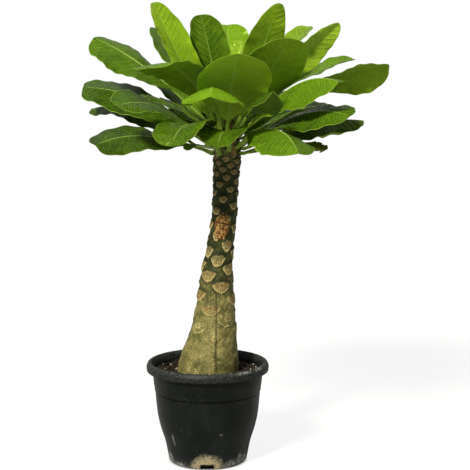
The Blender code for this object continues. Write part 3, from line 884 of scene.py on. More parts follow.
    def scar_marks(self, angle: Array, height: Array) -> tuple[dict[str, Array], Array]:
        """Leaf scars, as values for the finish and as relief.

        A scar is a low cushion with a corky half-moon on it. The half-moon lies between two parabolas that
        meet at its corners. It has a cream rim along its round foot, broken into dots on the lower scars,
        and a rusty core on the upper ones. Near the pot only the arcs and rings of dots are left.

        Args:
            angle: Turn of each place round the stem.
            height: Its height.

        Returns:
            The named values, and how far each place stands out.
        """
        across, along, half = self.nearest_scar(angle, height)
        wobble = 0.10 * ripple(self.noise_place(angle, height), 0.006, 5)
        from_foot = along + 1.0 - 1.35 * np.abs(across) ** 2.6 + wobble
        from_top = 0.80 - 0.44 * across ** 2 - along + wobble
        inside = np.minimum(from_foot, from_top)
        corky = smooth(*self.corky_from, height)
        dotted = 1 - smooth(*self.dotted_to, height)
        face = smooth(0.0, 0.16, inside) * corky
        beads = 0.5 + 0.5 * np.cos(FULL_TURN * across * half / self.bead_pitch)
        line = bell(from_foot - 0.14, 0.17) * smooth(0.0, 0.12, from_top) * (1 - 0.6 * dotted * (1 - beads))
        row = 0.7 * bell(from_foot - 0.66, 0.13) * smooth(0.05, 0.20, from_top) * beads
        rim = np.maximum(line, row * smooth(0.005, 0.007, half))
        rim = rim * corky * (1 - 0.65 * smooth(0.35, 0.40, height))
        core = 1 - smooth(0.25, 0.75, np.hypot(across / 0.55, (along - 0.12) / 0.75))
        core = core * smooth(*self.rusty_from, height)
        ring = bell(np.hypot(across / 0.30, (along - 0.25) / 0.34) - 1.0, 0.35)
        ring = np.clip(ring * (0.4 + 0.6 * np.cos(np.arctan2(along - 0.25, across) * 6)), 0.0, 1.0)
        arc = bell(from_foot - 0.10, 0.09) * smooth(0.0, 0.12, from_top)
        faded = smooth(0.166, 0.186, height) * (1 - corky)
        dots = np.maximum(ring * np.maximum(faded, 0.5 * corky * dotted), 0.75 * arc * faded)
        # Painted shade: a dark band round each upper scar's corky face, as under its overhang
        halo = (1 - face) * smooth(-0.95, -0.02, inside) * smooth(0.216, 0.250, height)
        cushion = (1 - smooth(0.70, 1.25, np.hypot(across, along))) * smooth(0.150, 0.200, height)
        relief = cushion * self.scar_raise + (0.45 * rim - 0.25 * core + 0.30 * dots) * self.mark_raise
        return {"cork": face, "rim": 0.90 * rim, "core": core, "halo": halo, "dots": dots}, relief

    def marks(self, angle: Array, height: Array) -> tuple[dict[str, Array], Array]:
        """The scars, with the sore, the long crack between its lines of specks, and the bark's age.

        Args:
            angle: Turn of each place round the stem.
            height: Its height.

        Returns:
            The named values, and how far each place stands out.
        """
        values, relief = self.scar_marks(angle, height)
        place, radius = self.noise_place(angle, height), self.radius(height)
        line = np.radians(np.interp(height, *self.crack) + 0.5 * np.sin(height * 150))
        off_line = turn_apart(angle, FRONT + line) * radius
        gape = self.crack_half * (2 - smooth(0.150, 0.205, height))
        # Painted shade along the crack, darkest on its line
        crack = bell(off_line, gape) * (1 - smooth(*self.crack_end, height))
        specks = bell(np.abs(off_line) - self.speck_aside, self.speck_spread)
        specks = specks * smooth(0.133, 0.145, height) * (1 - smooth(0.178, 0.215, height))
        for spot in self.specks:
            specks = np.maximum(specks, 1 - smooth(0.3, 1.2, spot.away(angle, height, radius)))
        from_sore = self.sore.away(angle, height, radius) + 0.16 * ripple(place, 0.007, 11)
        wound = 1 - smooth(0.86, 1.08, from_sore)
        relief = relief - crack * self.crack_deep
        relief = relief + wound * (self.sore_raise + self.sore_knots * ripple(place, 0.004, 12))
        # Where age falls off towards the top, the bark turns green-black, partly painted shade under the
        # crown
        values |= {
            "age": 1 - smooth(*self.green_from, height + 0.010 * ripple(place, 0.03, 3)),
            "cork": values["cork"] * (1 - wound),
            "crack": 0.85 * crack,
            "wound": wound,
            "specks": specks,
        }
        return values, relief * smooth(self.heights[0], self.heights[0] + 0.004, height)

    def build(self) -> Skin:
        """The closed stem: rings of the trunk, then of the half ellipsoid that is the growing head.

        Returns:
            The surface.
        """
        angle, height, inset = self.grid()
        values, relief = self.marks(angle, height)
        uneven = self.unevenness * ripple(self.noise_place(angle, height), 0.010, 21)
        relief = relief + uneven * smooth(self.heights[0], 0.140, height)
        relief = relief * (1 - smooth(0.420, 0.428, height))
        radius = self.radius(height) - inset + relief
        trunk = [self.centre(height) + radius * np.cos(angle), radius * np.sin(angle), height]
        lifts = np.linspace(0.0, math.pi / 2, self.head_rings + 2)[1:-1]
        turn, lift = np.meshgrid(angle[0], lifts)
        ring = self.head_radius * np.cos(lift)
        head = [ring * np.cos(turn), ring * np.sin(turn), self.head_height * np.sin(lift)]
        rings = np.concatenate([np.stack(trunk, axis=-1), np.stack(head, axis=-1) + np.array(self.head_base)])
        for key, value in values.items():
            values[key] = np.concatenate([value, np.repeat(value[-1:], len(lifts), 0)])
        top = np.array(self.head_base) + UPWARD * self.head_height
        return closed_rings(rings, np.array([0.0, 0.0, self.stub_foot]), top, values)

    def dress(self) -> None:
        """Build the stem in place of the part's own."""
        show(self.build().mesh("scarred_stem"), StemFinish().make(), Slot.STEM, "stem")


# Crown


@dataclass(frozen=True)
class Leaf:
    """One leaf, from its place on the head to the tip of its midrib.

    The tip is in millimetres. Rise and end are the midrib's elevations at the petiole and at the tip,
    roll turns the blade about the midrib, and fold and curl bend its left and right halves, in
    degrees. Sway bows the midrib sideways, in millimetres, and petiole is the bare share of it. Belly
    moves the widest place towards the tip, notch is the depth of the tip's notch as a share of the
    blade, point is how far the tip is narrowed, frayed is how torn and wilted the far end is, and
    the last field, how light the leaf is painted, from 0 to 1, is partly its own tint and partly
    painted shade on leaves that lie in shadow and painted sheen on bright ones.
    """

    place: int
    tip: tuple[float, float, float]
    rise: float
    end: float
    width: float = 70.0
    roll: float = 0.0
    fold: tuple[float, float] = (12.0, 12.0)
    curl: tuple[float, float] = (0.0, 0.0)
    sway: float = 0.0
    wave: float = 2.5
    petiole: float = 0.15
    belly: float = 0.35
    notch: float = 0.035
    point: float = 0.0
    frayed: float = 0.0
    tint: float = 0.5


# A leaf's last number is partly its own tint and partly painted shade on shadowed leaves and painted sheen on
# bright ones
LEAVES = (
    # Low leaves that spread and hang
    Leaf(0, (-172, 50, 483), 34, -24, 58, roll=20, fold=(0, -20), notch=0.06, tint=0.24),
    Leaf(1, (165, 80, 443), 18, -25, 66),
    Leaf(2, (-41, -157, 445), 76, -68, 72, fold=(12, 0), petiole=0.36, belly=0.1, tint=0.34),
    Leaf(3, (-8, 172, 450), 22, -30, 64),
    Leaf(4, (160, -68, 436), 0, -34, 46, roll=-15, fold=(-15, 0), frayed=1.0, tint=0.30),
    Leaf(5, (-153, -80, 440), 24, -28, roll=30, fold=(0, -15), notch=0.07, tint=0.08),
    Leaf(6, (130, 140, 452), 30, -30),
    Leaf(7, (15, -147, 444), 46, -60, 58, sway=-4, petiole=0.32, belly=0.2, tint=0.27),
    Leaf(8, (-96, 136, 470), 42, -24, 60),
    Leaf(9, (214, -40, 474), 27, -10, 76, roll=-22, fold=(-50, -5), tint=0.30),
    Leaf(10, (-26, -58, 436), 0, -30, 26, wave=1.0),
    Leaf(11, (35, 185, 470), 35, -25),
    Leaf(12, (118, -155, 436), 44, -58, 86, fold=(-22, -24), petiole=0.32, belly=0.2, tint=0.45),
    # Middle leaves
    Leaf(13, (-180, 15, 516), 42, -8, 78, roll=38, fold=(5, -22), notch=0.06, tint=0.06),
    Leaf(14, (145, 125, 466), 30, -25),
    Leaf(15, (7, -165, 508), 50, -50, 84, fold=(-12, -12), curl=(-34, -34), petiole=0.5, tint=0.95),
    Leaf(16, (-55, 160, 484), 42, -20),
    Leaf(17, (190, -100, 482), 35, -20, roll=-15, fold=(-5, -20), tint=0.22),
    Leaf(18, (-115, -120, 496), 40, -18, 64, roll=12, fold=(-12, 12), tint=0.18),
    Leaf(19, (90, 165, 500), 45, -10),
    Leaf(20, (87, -150, 517), 42, 5, 56, fold=(-18, -18), curl=(-50, -50), petiole=0.4, tint=0.15),
    Leaf(21, (-102, 130, 538), 48, 4, 64),
    Leaf(22, (206, 50, 482), 36, -15, 60, tint=0.25),
    Leaf(23, (-74, -130, 543), 92, -30, 90, roll=-20, fold=(-18, 10), petiole=0.34, belly=0.2, tint=0.50),
    Leaf(24, (0, 170, 515), 50, 0),
    Leaf(25, (174, -110, 525), 55, -25, 76, roll=-10, fold=(-15, -45), tint=0.46),
    Leaf(26, (-94, 20, 508), 42, 0, 40, roll=12, fold=(0, -20), tint=0.20),
    Leaf(27, (105, 130, 545), 50, 5, 62),
    Leaf(28, (42, -150, 566), 60, 30, 90, fold=(0, 0), curl=(-25, -25), tint=0.95),
    Leaf(29, (-42, 132, 562), 52, 15, 60),
    # High leaves that stand
    Leaf(30, (244, -40, 549), 45, 5, 64, roll=45,
         fold=(-20, -38), petiole=0.42, belly=0.6, notch=0.02, tint=0.62),
    Leaf(31, (-71, -60, 634), 75, 62, 51, roll=-35, fold=(0, 36), belly=0.0, tint=0.86),
    Leaf(32, (27, 120, 608), 72, 48, 62, tint=0.92),
    Leaf(33, (112, -110, 586), 62, 45, 84, roll=12, fold=(0, -5), belly=0.25, tint=0.66),
    Leaf(34, (-160, 35, 587), 48, 22, 80, roll=30,
         fold=(-2, -4), curl=(0, -38), petiole=0.36, belly=0.45, tint=0.34),
    Leaf(35, (209, 55, 556), 50, 10, 46, roll=-8, tint=0.55),
    Leaf(36, (-7, -60, 618), 82, 74, 58, fold=(5, 5), sway=-4, belly=0.2, tint=0.10),
    Leaf(37, (-77, 100, 604), 60, 55, 68, tint=0.60),
    Leaf(38, (98, -50, 628), 78, 58, 48, roll=38, fold=(0, 0), belly=0.15, notch=0.0, point=0.25, tint=0.42),
    # Young leaves in the heart of the crown
    Leaf(39, (-12, -5, 575), 80, 70, 46),
    Leaf(40, (145, 88, 605), 61, 44, 57, tint=0.50),
    Leaf(41, (44, -32, 564), 74, 66, 38),
    Leaf(42, (-66, 80, 602), 74, 50, 58),
    Leaf(43, (176, -28, 603), 47, 42, 43, roll=52,
         fold=(-10, -20), petiole=0.25, belly=0.5, notch=0.0, point=0.3, tint=0.88),
    Leaf(44, (13, -13, 580), 86, 78, 30),
    Leaf(45, (50, 40, 584), 85, 65, 42, tint=0.75),
)


def along_line(line: Array, run: Array, share: Array) -> Array:
    """Points of a line at shares of its length."""
    return np.stack([np.interp(share, run, line[:, k]) for k in range(3)], axis=-1)


@dataclass
class Crown:
    """The leaves, each a thick blade on a short petiole, wound round the stem's growing head.

    A blade is a sheet with an upper and a lower skin. The lower one has the midrib's rib, deepest at the
    petiole, and the upper one a narrow channel over it. The sheet rises in low blisters between the side
    veins. The spread gives the places of its points from the midrib to a margin.
    """

    stem: Stem
    box: tuple[Array, Array]
    rows: int = 92
    spread: tuple = (0.0, 0.04, 0.09, 0.16, 0.25, 0.34, 0.44, 0.55, 0.66, 0.77, 0.87, 0.94, 0.98, 1.0)
    thick: float = 0.0009
    petiole_half: float = 0.0032
    petiole_up: float = 0.0009
    petiole_down: float = 0.0024
    petiole_edge: float = 0.0005
    petiole_swell: float = 0.0007
    heel: float = 0.004
    reach: float = 0.36
    notch_span: float = 0.42
    outline_fullness: float = 1.09
    slant: float = 0.55
    full_width: float = 70.0
    vein_pitch: float = 0.0092
    root_depth: float = 0.0006
    blister: float = 0.0006
    margin_wave: float = 0.0009
    margin_waver: float = 0.012
    tear_depth: float = 0.38
    tint_spread: float = 0.04
    tint_shift: float = -0.15
    old_wear: float = 0.25
    rib_deep: float = 0.0026
    rib_end: float = 0.0006
    rib_wide: float = 0.0030
    channel_wide: float = 0.0016
    channel_deep: float = 0.00035
    last_old: int = 9
    first_young: int = 39

    def midrib(self, leaf: Leaf) -> tuple[Array, Array, float, Array]:
        """The midrib: a cubic Bezier curve from the leaf's heel on the head to its tip, bowed by the sway.

        Args:
            leaf: The leaf.

        Returns:
            Points on it, their shares of its length, its length, and its level side direction.
        """
        point, outward = self.stem.leaf_place(leaf.place)
        heel = point + outward * self.heel
        tip = np.array(leaf.tip) * MILLIMETRE
        span = np.linalg.norm(tip - heel)
        level = unit((tip - heel) * np.array([1.0, 1.0, 0.0]))
        side = np.array([level[1], -level[0], 0.0])
        rise, end = math.radians(leaf.rise), math.radians(leaf.end)
        start_way = unit((level * math.cos(rise) + UPWARD * math.sin(rise)) * 0.7 + outward * 0.3)
        end_way = level * math.cos(end) + UPWARD * math.sin(end)
        handles = [heel, heel + start_way * span * self.reach, tip - end_way * span * self.reach, tip]
        t = np.linspace(0.0, 1.0, 400)[:, None]
        weights = ((1 - t) ** 3, 3 * (1 - t) ** 2 * t, 3 * (1 - t) * t * t, t ** 3)
        line = sum(weight * handle for weight, handle in zip(weights, handles))
        line = line + side * leaf.sway * MILLIMETRE * np.sin(math.pi * t)
        run = np.concatenate([[0.0], np.cumsum(np.linalg.norm(np.diff(line, axis=0), axis=1))])
        return line, run / run[-1], float(run[-1]), side

    def outline(self, leaf: Leaf, length: float) -> tuple[Array, Array, Array]:
        """Rows of the blade: a spoon's outline with a notch at its tip, on a slender petiole.

        Args:
            leaf: The leaf.
            length: The midrib's length.

        Returns:
            Each row's share of the midrib at its middle and at its margin, and its half width.
        """
        sweep = np.linspace(0.0, math.pi - 0.03, self.rows)
        sweep = sweep - 0.09 * np.sin(2 * sweep)
        along = 0.5 * (1 - np.cos(sweep))
        widest = (leaf.belly + 0.5) / (leaf.belly + 1.0)
        largest = 2 * widest ** (leaf.belly + 0.5) * math.sqrt(1 - widest)
        across = np.sin(sweep) * np.maximum(along, 0.0) ** leaf.belly * self.outline_fullness / largest
        across = across * (1 - leaf.point * smooth(0.55, 1.0, along))
        along = along - leaf.notch * bell(math.pi - sweep, self.notch_span)
        half = leaf.width * MILLIMETRE / 2
        bare = leaf.petiole
        middle = np.maximum.accumulate(along - self.slant * across * half / (length * (1 - bare)))
        stalk_rows = np.array([0.0, 0.3, 0.65]) * bare
        at_middle = np.concatenate([stalk_rows, bare + (1 - bare) * middle])
        at_margin = np.concatenate([stalk_rows, bare + (1 - bare) * along])
        stalk = self.petiole_half * (1 - 0.3 * smooth(0.0, bare, at_middle))
        stalk = stalk * (1 - smooth(bare + 0.3, 1.0, at_middle))
        return at_middle, at_margin, np.maximum(np.concatenate([0 * stalk_rows, across * half]), stalk)

    def sheet(self, leaf: Leaf) -> tuple[Array, dict[str, Array]]:
        """Middle surface of the leaf, by row and by place across.

        Each row runs from the midrib to both margins. Its halves are arcs that start at the fold's angle
        and gain the curl's angle on the way out. The margins waver by seeded sines, and a frayed end is
        torn by faster ones.

        Args:
            leaf: The leaf.

        Returns:
            The sheet's points, and the grids that the skins need.
        """
        line, run, length, side = self.midrib(leaf)
        at_middle, at_margin, width = self.outline(leaf, length)
        half = np.array(self.spread)
        cross = np.concatenate([-half[:0:-1], half])[None, :]
        out, left = np.abs(cross), cross < 0
        share = at_middle[:, None] + (at_margin - at_middle)[:, None] * out
        tau = np.clip((share - leaf.petiole) / (1 - leaf.petiole), 0.0, 1.0)
        draw = np.random.default_rng(leaf.place * 7)
        phase = draw.uniform(0.0, FULL_TURN, 4)
        cycles = draw.uniform(1.6, 2.6, 2)

        def halves(at_left: Array | float, at_right: Array | float) -> Array:
            """One value on the left half of the blade and another on the right."""
            return np.where(left, at_left, at_right)

        waver = halves(np.sin(tau * 23 + phase[2]), np.sin(tau * 19 + phase[3])) * self.margin_waver
        tear = halves(np.sin(tau * 61 + phase[0]), np.sin(tau * 71 + phase[1]))
        tear = np.clip(tear * 1.3 + np.sin(tau * 143) * 0.6, 0.0, 1.0) * smooth(0.50, 0.85, tau) * leaf.frayed
        lost = self.tear_depth * tear * smooth(0.3, 1.0, out)
        width = width[:, None] * (1 + waver * smooth(0.5, 1.0, out) - lost)
        after = along_line(line, run, np.minimum(share + 0.006, 1.0))
        before = along_line(line, run, np.maximum(share - 0.006, 0.0))
        forward = unit(after - before)
        sideways = unit(side - forward * (forward @ side)[..., None])
        upward = np.cross(sideways, forward)
        roll = math.radians(leaf.roll) * smooth(0.03, 0.5, share)[..., None]
        rolled = sideways * np.cos(roll) + upward * np.sin(roll)
        raised = upward * np.cos(roll) - sideways * np.sin(roll)
        fold, curl = (np.radians(halves(*bent)) * smooth(0.0, 0.3, tau) for bent in (leaf.fold, leaf.curl))
        curl = np.where(np.abs(curl) < 1e-3, 1e-3, curl)
        aside = (np.sin(fold + curl * out) - np.sin(fold)) / curl * np.sign(cross) * width
        height = (np.cos(fold) - np.cos(fold + curl * out)) / curl * width
        broad = halves(*(np.sin(FULL_TURN * cycles[k] * tau + phase[k]) for k in (0, 1)))
        small = halves(*(np.sin(FULL_TURN * cycles[k] * 3.7 * tau + phase[k + 2]) for k in (0, 1)))
        lift = broad * leaf.wave * MILLIMETRE * out ** 2 + small * self.margin_wave * out ** 3
        height = height + lift * np.clip(width / (leaf.width * MILLIMETRE / 2), 0.0, 1.0)
        points = along_line(line, run, share) + rolled * aside[..., None] + raised * height[..., None]
        # The side veins' phase is whole on each vein: distance along, less the sweep outward, per pitch
        off = out * width
        pitch = self.vein_pitch * (0.80 + 0.20 * leaf.width / self.full_width)
        veins = (share * length - off * (0.42 + 0.42 * out)) / pitch
        veins = veins + 0.5 * smooth(-0.06, 0.06, cross) + 0.37 * leaf.place
        along = (share - leaf.petiole) / (1 - leaf.petiole)
        grids = {"cross": cross + 0 * share, "tau": tau, "along": along, "off": off, "raised": raised}
        grids |= {"middle": at_middle[:, None] + 0 * share, "tear": tear, "veins": veins, "side": side}
        return points, grids

    def normals(self, sheet: Array, fallback: Array) -> Array:
        """Directions square to the sheet on its upper side: the cross product of its two slopes.

        Args:
            sheet: The sheet's points.
            fallback: Direction to use where the sheet has no width.

        Returns:
            A direction for each point.
        """
        normals = np.cross(np.gradient(sheet, axis=1), np.gradient(sheet, axis=0))
        size = np.linalg.norm(normals, axis=-1, keepdims=True)
        return np.where(size > 1e-14, normals / np.maximum(size, 1e-14), fallback)

    def skins(self, leaf: Leaf) -> Skin:
        """The closed leaf: rings that run out over the upper skin and back over the lower one.

        Args:
            leaf: The leaf.

        Returns:
            The surface.
        """
        sheet, grids = self.sheet(leaf)
        normals = self.normals(sheet, grids["raised"])
        cross, tau, middle, off = (grids[key] for key in ("cross", "tau", "middle", "off"))
        out = np.abs(cross)
        size = min(1.0, leaf.width / self.full_width)
        bare = 1 - smooth(leaf.petiole * 0.6, leaf.petiole + 0.16, middle)
        swell = -0.5 * np.cos(FULL_TURN * grids["veins"]) * (1 - smooth(0.80, 1.0, out))
        swell = swell * smooth(0.06, 0.22, out) * smooth(0.0, 0.14, tau) * (1 - smooth(0.9, 1.0, tau))
        sheet = sheet + normals * (self.blister * swell)[..., None]
        rib = self.rib_deep * size * (1 - smooth(0.0, 0.55, middle)) + self.rib_end * (1 - middle)
        ridge = bell(off, self.rib_wide * (1 - 0.45 * middle))
        tube = np.sqrt(np.clip(1 - out ** 2, 0.0, 1.0))
        edge = self.thick / 2 * (0.30 + 0.70 * np.sqrt(np.clip(1 - out ** 8, 0.0, 1.0)))
        channel = bell(off, self.channel_wide) * smooth(0.0, 0.2, tau) * (1 - smooth(0.8, 1.0, tau))
        above = edge + bare * self.petiole_swell * size * (1 - out ** 2) - self.channel_deep * channel
        below = edge + rib * (ridge * (1 - bare) + tube * bare)
        foot_up, foot_down, root = self.foot(leaf, grids["side"], cross[0], size)
        upper = np.concatenate([foot_up[None], sheet + normals * above[..., None]])
        lower = np.concatenate([foot_down[None], sheet - normals * below[..., None]])
        rings = np.clip(np.concatenate([upper, lower[:, ::-1]], axis=1), *self.box)

        def ringed(value: Array) -> Array:
            """A grid's value for both skins, with the foot's row added."""
            value = np.concatenate([value[:1], value])
            return np.concatenate([value, value[:, ::-1]], axis=1)

        under = np.concatenate([0 * upper[..., 0], 0 * lower[..., 0] + 1], axis=1)
        # The leaf's lightness: partly its own tint, partly painted shade and sheen, with a little chance
        # added
        chance = np.random.default_rng(900 + leaf.place).uniform(-self.tint_spread, self.tint_spread)
        tint = leaf.tint + chance + self.tint_shift
        worn = self.old_wear if leaf.place <= self.last_old else 0.0
        worn = worn * smooth(0.86, 1.0, out) * smooth(0.55, 0.9, tau)
        wilt = np.maximum(worn, leaf.frayed * np.maximum(smooth(0.45, 0.95, tau) * 0.75, grids["tear"]))
        lamina = np.stack([ringed(grids[key]) for key in ("cross", "veins", "along")], axis=-1)
        values = {"lamina": lamina, "under": under, "tint": 0 * under + tint, "wilt": ringed(wilt)}
        return closed_rings(rings, root, rings[-1].mean(axis=0), values)

    def foot(self, leaf: Leaf, side: Array, cross: Array, size: float) -> tuple[Array, Array, Array]:
        """The petiole's foot: a half-moon section let into the head's skin.

        Args:
            leaf: The leaf.
            side: The midrib's level side direction.
            cross: Places across the leaf.
            size: The leaf's size against a full one.

        Returns:
            The section's upper and lower points, and its middle.
        """
        point, outward = self.stem.leaf_place(leaf.place)
        steep = unit(np.cross(outward, side))
        steep = -steep if steep[2] < 0 else steep
        level = unit(np.cross(steep, outward))
        level = -level if level @ side < 0 else level
        root = point - outward * self.root_depth
        foot = root + level * (cross * self.petiole_half * size)[:, None]
        up = self.petiole_edge + self.petiole_up * size * (1 - cross ** 2)
        down = self.petiole_edge + self.petiole_down * size * np.sqrt(np.clip(1 - cross ** 2, 0.0, 1.0))
        return foot + steep * up[:, None], foot - steep * down[:, None], root

    def dress(self) -> None:
        """Build each leaf in place of the part's own, in the finish of its age."""
        finishes = {slot: finish.make() for slot, finish in LEAF_FINISHES.items()}
        for leaf in LEAVES:
            slot = Slot.LEAF_FULL
            if leaf.place <= self.last_old:
                slot = Slot.LEAF_OLD
            elif leaf.place >= self.first_young:
                slot = Slot.LEAF_YOUNG
            number = f"{leaf.place + 1:02d}"
            show(self.skins(leaf).mesh(f"blade_{number}"), finishes[slot], slot, f"leaf_{number}")


# Pot


@dataclass
class Pot:
    """The nursery pot: a thin tapering wall with a stepped shoulder that turns over into a rolled lip."""

    sides: int = 240
    wall: float = 0.0020
    floor: float = 0.0025
    wall_heights: tuple = (0.0040, 0.0120, 0.0290, 0.0465, 0.0640, 0.0810, 0.0985)
    wall_radii: tuple = (0.0548, 0.0562, 0.0597, 0.0652, 0.0694, 0.0715, 0.0729)
    shoulder: tuple = (
        (0.0724, 0.0990), (0.0736, 0.0998), (0.0738, 0.1010), (0.0744, 0.1070), (0.0747, 0.1085),
        (0.0750, 0.1092), (0.0756, 0.1160), (0.0760, 0.1220), (0.0764, 0.1280),
    )
    inner_shoulder: tuple = ((0.1005, 0.1160, 0.1280), (0.0736, 0.0756, 0.0764))
    lip_radius: float = 0.0850
    lip_top: float = 0.1400
    lip_foot: float = 0.1278
    lip_mouth: float = 0.0780
    foot_round: float = 0.0036
    skirt_round: float = 0.0016
    hem_round: float = 0.0008
    lip_round: float = 0.0055
    top_round: float = 0.0038
    mouth_round: float = 0.0012
    notch_count: int = 4
    notch_width: float = 0.018
    notch_height: float = 0.007
    notch_depth: float = 0.016
    notch_past: float = 0.004
    notch_below: float = 0.001
    drain_stain: tuple = (0.0285, 0.0270)
    grooves: tuple = ((0.0992, 0.0012, 0.95), (0.1080, 0.0009, 0.5))
    scuffs: tuple = (
        Spot(-47.0, 0.0395, 0.0014, 0.0100, 0.75),
        Spot(-31.0, 0.0560, 0.0009, 0.0014, 0.60),
        Spot(17.0, 0.0530, 0.0018, 0.0009, 0.55),
        Spot(38.0, 0.1385, 0.0130, 0.0016, 0.90),
        Spot(58.0, 0.1385, 0.0090, 0.0020, 0.80),
        Spot(-34.0, 0.1150, 0.0012, 0.0010, 0.50),
        Spot(-66.0, 0.0080, 0.0085, 0.0100, 0.80),
        Spot(-44.0, 0.0025, 0.0150, 0.0045, 0.80),
        Spot(36.0, 0.0040, 0.0110, 0.0080, 0.75),
        Spot(52.0, 0.0090, 0.0060, 0.0110, 0.85),
        Spot(66.0, 0.0065, 0.0080, 0.0100, 0.90),
        Spot(160.0, 0.0050, 0.0200, 0.0060, 0.80),
        Spot(115.0, 0.0700, 0.0020, 0.0120, 0.50),
    )

    def inside_radius(self, height: Array | float) -> Array:
        """Radius of the inner face at a height, one wall inside the outer one."""
        heights, radii = self.inner_shoulder
        return np.interp(height, self.wall_heights + heights, self.wall_radii + radii) - self.wall

    def bend(
        self, across: float, up: float, radius: float, start: float, end: float, steps: int = 6
    ) -> Array:
        """Arc of the section about a centre.

        Args:
            across: Radius of the arc's centre from the axis.
            up: Height of the centre.
            radius: The arc's own radius.
            start: Angle that it starts at, in degrees from outward.
            end: Angle that it ends at.
            steps: Points on it.

        Returns:
            Radius and height of each point.
        """
        angles = np.radians(np.linspace(start, end, steps))
        return np.stack([across + radius * np.cos(angles), up + radius * np.sin(angles)], axis=-1)

    def profile(self) -> Array:
        """The section, from the middle of the foot, up the wall, over the lip and down to the floor.

        Returns:
            Radius and height of each ring.
        """
        rise = np.linspace(self.wall_heights[0] + 0.0006, self.wall_heights[-1], 46)
        fall = np.linspace(self.shoulder[-1][1], self.wall_heights[0], 24)
        skirt, under = self.lip_radius - self.wall, self.lip_top - self.wall
        fold, hem, lip, top, mouth = (
            self.skirt_round, self.hem_round, self.lip_round, self.top_round, self.mouth_round
        )
        return np.concatenate([
            [(0.030, 0.0), (0.0490, 0.0)],
            self.bend(0.0508, self.foot_round, self.foot_round, -80, -12),
            np.stack([through(rise, self.wall_heights, self.wall_radii), rise], axis=-1),
            self.shoulder,
            self.bend(self.shoulder[-1][0] + 0.0018, under - fold, fold, 180, 90),
            self.bend(skirt - fold, under - fold, fold, 90, 0),
            [(skirt, 0.1330)],
            self.bend(skirt + hem, self.lip_foot + hem, hem, 180, 340, 8),
            [(self.lip_radius - 0.0003, 0.1300), (self.lip_radius - 0.0001, 0.1315)],
            self.bend(self.lip_radius - lip, 0.1335, lip, 0, 28),
            self.bend(self.lip_radius - 0.0048, self.lip_top - top, top, 38, 90, 7),
            self.bend(self.lip_mouth + mouth, self.lip_top - mouth, mouth, 90, 180),
            [(float(self.inside_radius(self.shoulder[-1][1])) + 0.0012, self.lip_top - 0.0050)],
            np.stack([self.inside_radius(fall), fall], axis=-1),
            [(0.0500, self.floor), (0.030, self.floor)],
        ])

    def marks(self, rings: Array, angle: Array) -> dict[str, Array]:
        """Dust, scuffs, the mineral stain and the shaded grooves, as values on the outer face.

        Args:
            rings: The section's points round the pot.
            angle: Turn of each place.

        Returns:
            The named values.
        """
        height = rings[..., 2]
        radius = np.hypot(rings[..., 0], rings[..., 1])
        outer = smooth(-0.0012, 0.0, radius - self.inside_radius(height) - 0.0008)
        on_lip = smooth(self.lip_foot - 0.001, self.lip_foot + 0.002, height)
        dust = on_lip * (0.45 + 0.55 * smooth(self.lip_top - 0.005, self.lip_top - 0.001, height))
        dust = np.maximum(dust, 0.5 * (1 - smooth(0.004, 0.020, height)))
        scuff = 0 * height
        for spot in self.scuffs:
            soft = 1 - smooth(0.45, 1.25, spot.away(angle, height, radius))
            scuff = np.maximum(scuff, spot.strength * soft)
        arc = turn_apart(angle, FRONT) * radius
        from_drain = np.hypot(arc / self.drain_stain[0], height / self.drain_stain[1])
        from_drain = from_drain + 0.06 * ripple(np.stack([arc, height], axis=-1), 0.008, 31)
        groove = sum(depth * bell(height - middle, width) for middle, width, depth in self.grooves)
        return {
            "dust": dust * outer,
            "scuff": scuff * outer,
            "stain": (1 - smooth(0.40, 1.12, from_drain)) * outer,
            "groove": groove * outer,
        }

    def cutter(self) -> Skin:
        """The drain notches' cutter: one box at each quarter, from the front.

        Returns:
            The boxes.
        """
        deep, wide = self.notch_depth / 2, self.notch_width / 2
        middle = [self.wall_radii[0] + self.notch_past - deep, 0.0, self.notch_height / 2 - self.notch_below]
        half = [deep, wide, self.notch_height / 2 + self.notch_below]
        corners = np.array(list(product((-1, 1), repeat=3))) * half + middle
        sides = np.array([(0, 1, 3, 2), (4, 6, 7, 5), (0, 4, 5, 1), (2, 3, 7, 6), (0, 2, 6, 4), (1, 5, 7, 3)])
        number = np.arange(self.notch_count)[:, None]
        turn = FRONT + number * FULL_TURN / self.notch_count
        x, y, z = corners.T
        spun = [x * np.cos(turn) - y * np.sin(turn), x * np.sin(turn) + y * np.cos(turn), z + 0 * turn]
        faces = sides + len(corners) * number[:, None]
        return Skin(np.stack(spun, axis=-1).reshape(-1, 3), [faces.reshape(-1, 4)])

    def dress(self) -> None:
        """Turn the pot, cut its drain notches and show it in place of the part's own."""
        rings, angle = turned(self.profile(), self.sides)
        body = closed_rings(rings, np.zeros(3), UPWARD * self.floor, self.marks(rings, angle))
        blank = linked("pot_blank", body.mesh("pot_blank"))
        cutter = linked("drain_cutter", self.cutter().mesh("drain_cutter"))
        cut = blank.modifiers.new("drains", "BOOLEAN")
        cut.operation, cut.solver, cut.object = "DIFFERENCE", "EXACT", cutter
        mesh = bpy.data.meshes.new_from_object(blank.evaluated_get(bpy.context.evaluated_depsgraph_get()))
        for helper in (blank, cutter):
            bpy.data.objects.remove(helper, do_unlink=True)
        mesh.name = "nursery_pot"
        mesh.shade_smooth()
        mesh.set_sharp_from_angle(angle=math.radians(38))
        show(mesh, PotFinish().make(), Slot.POT, "pot")


# Soil


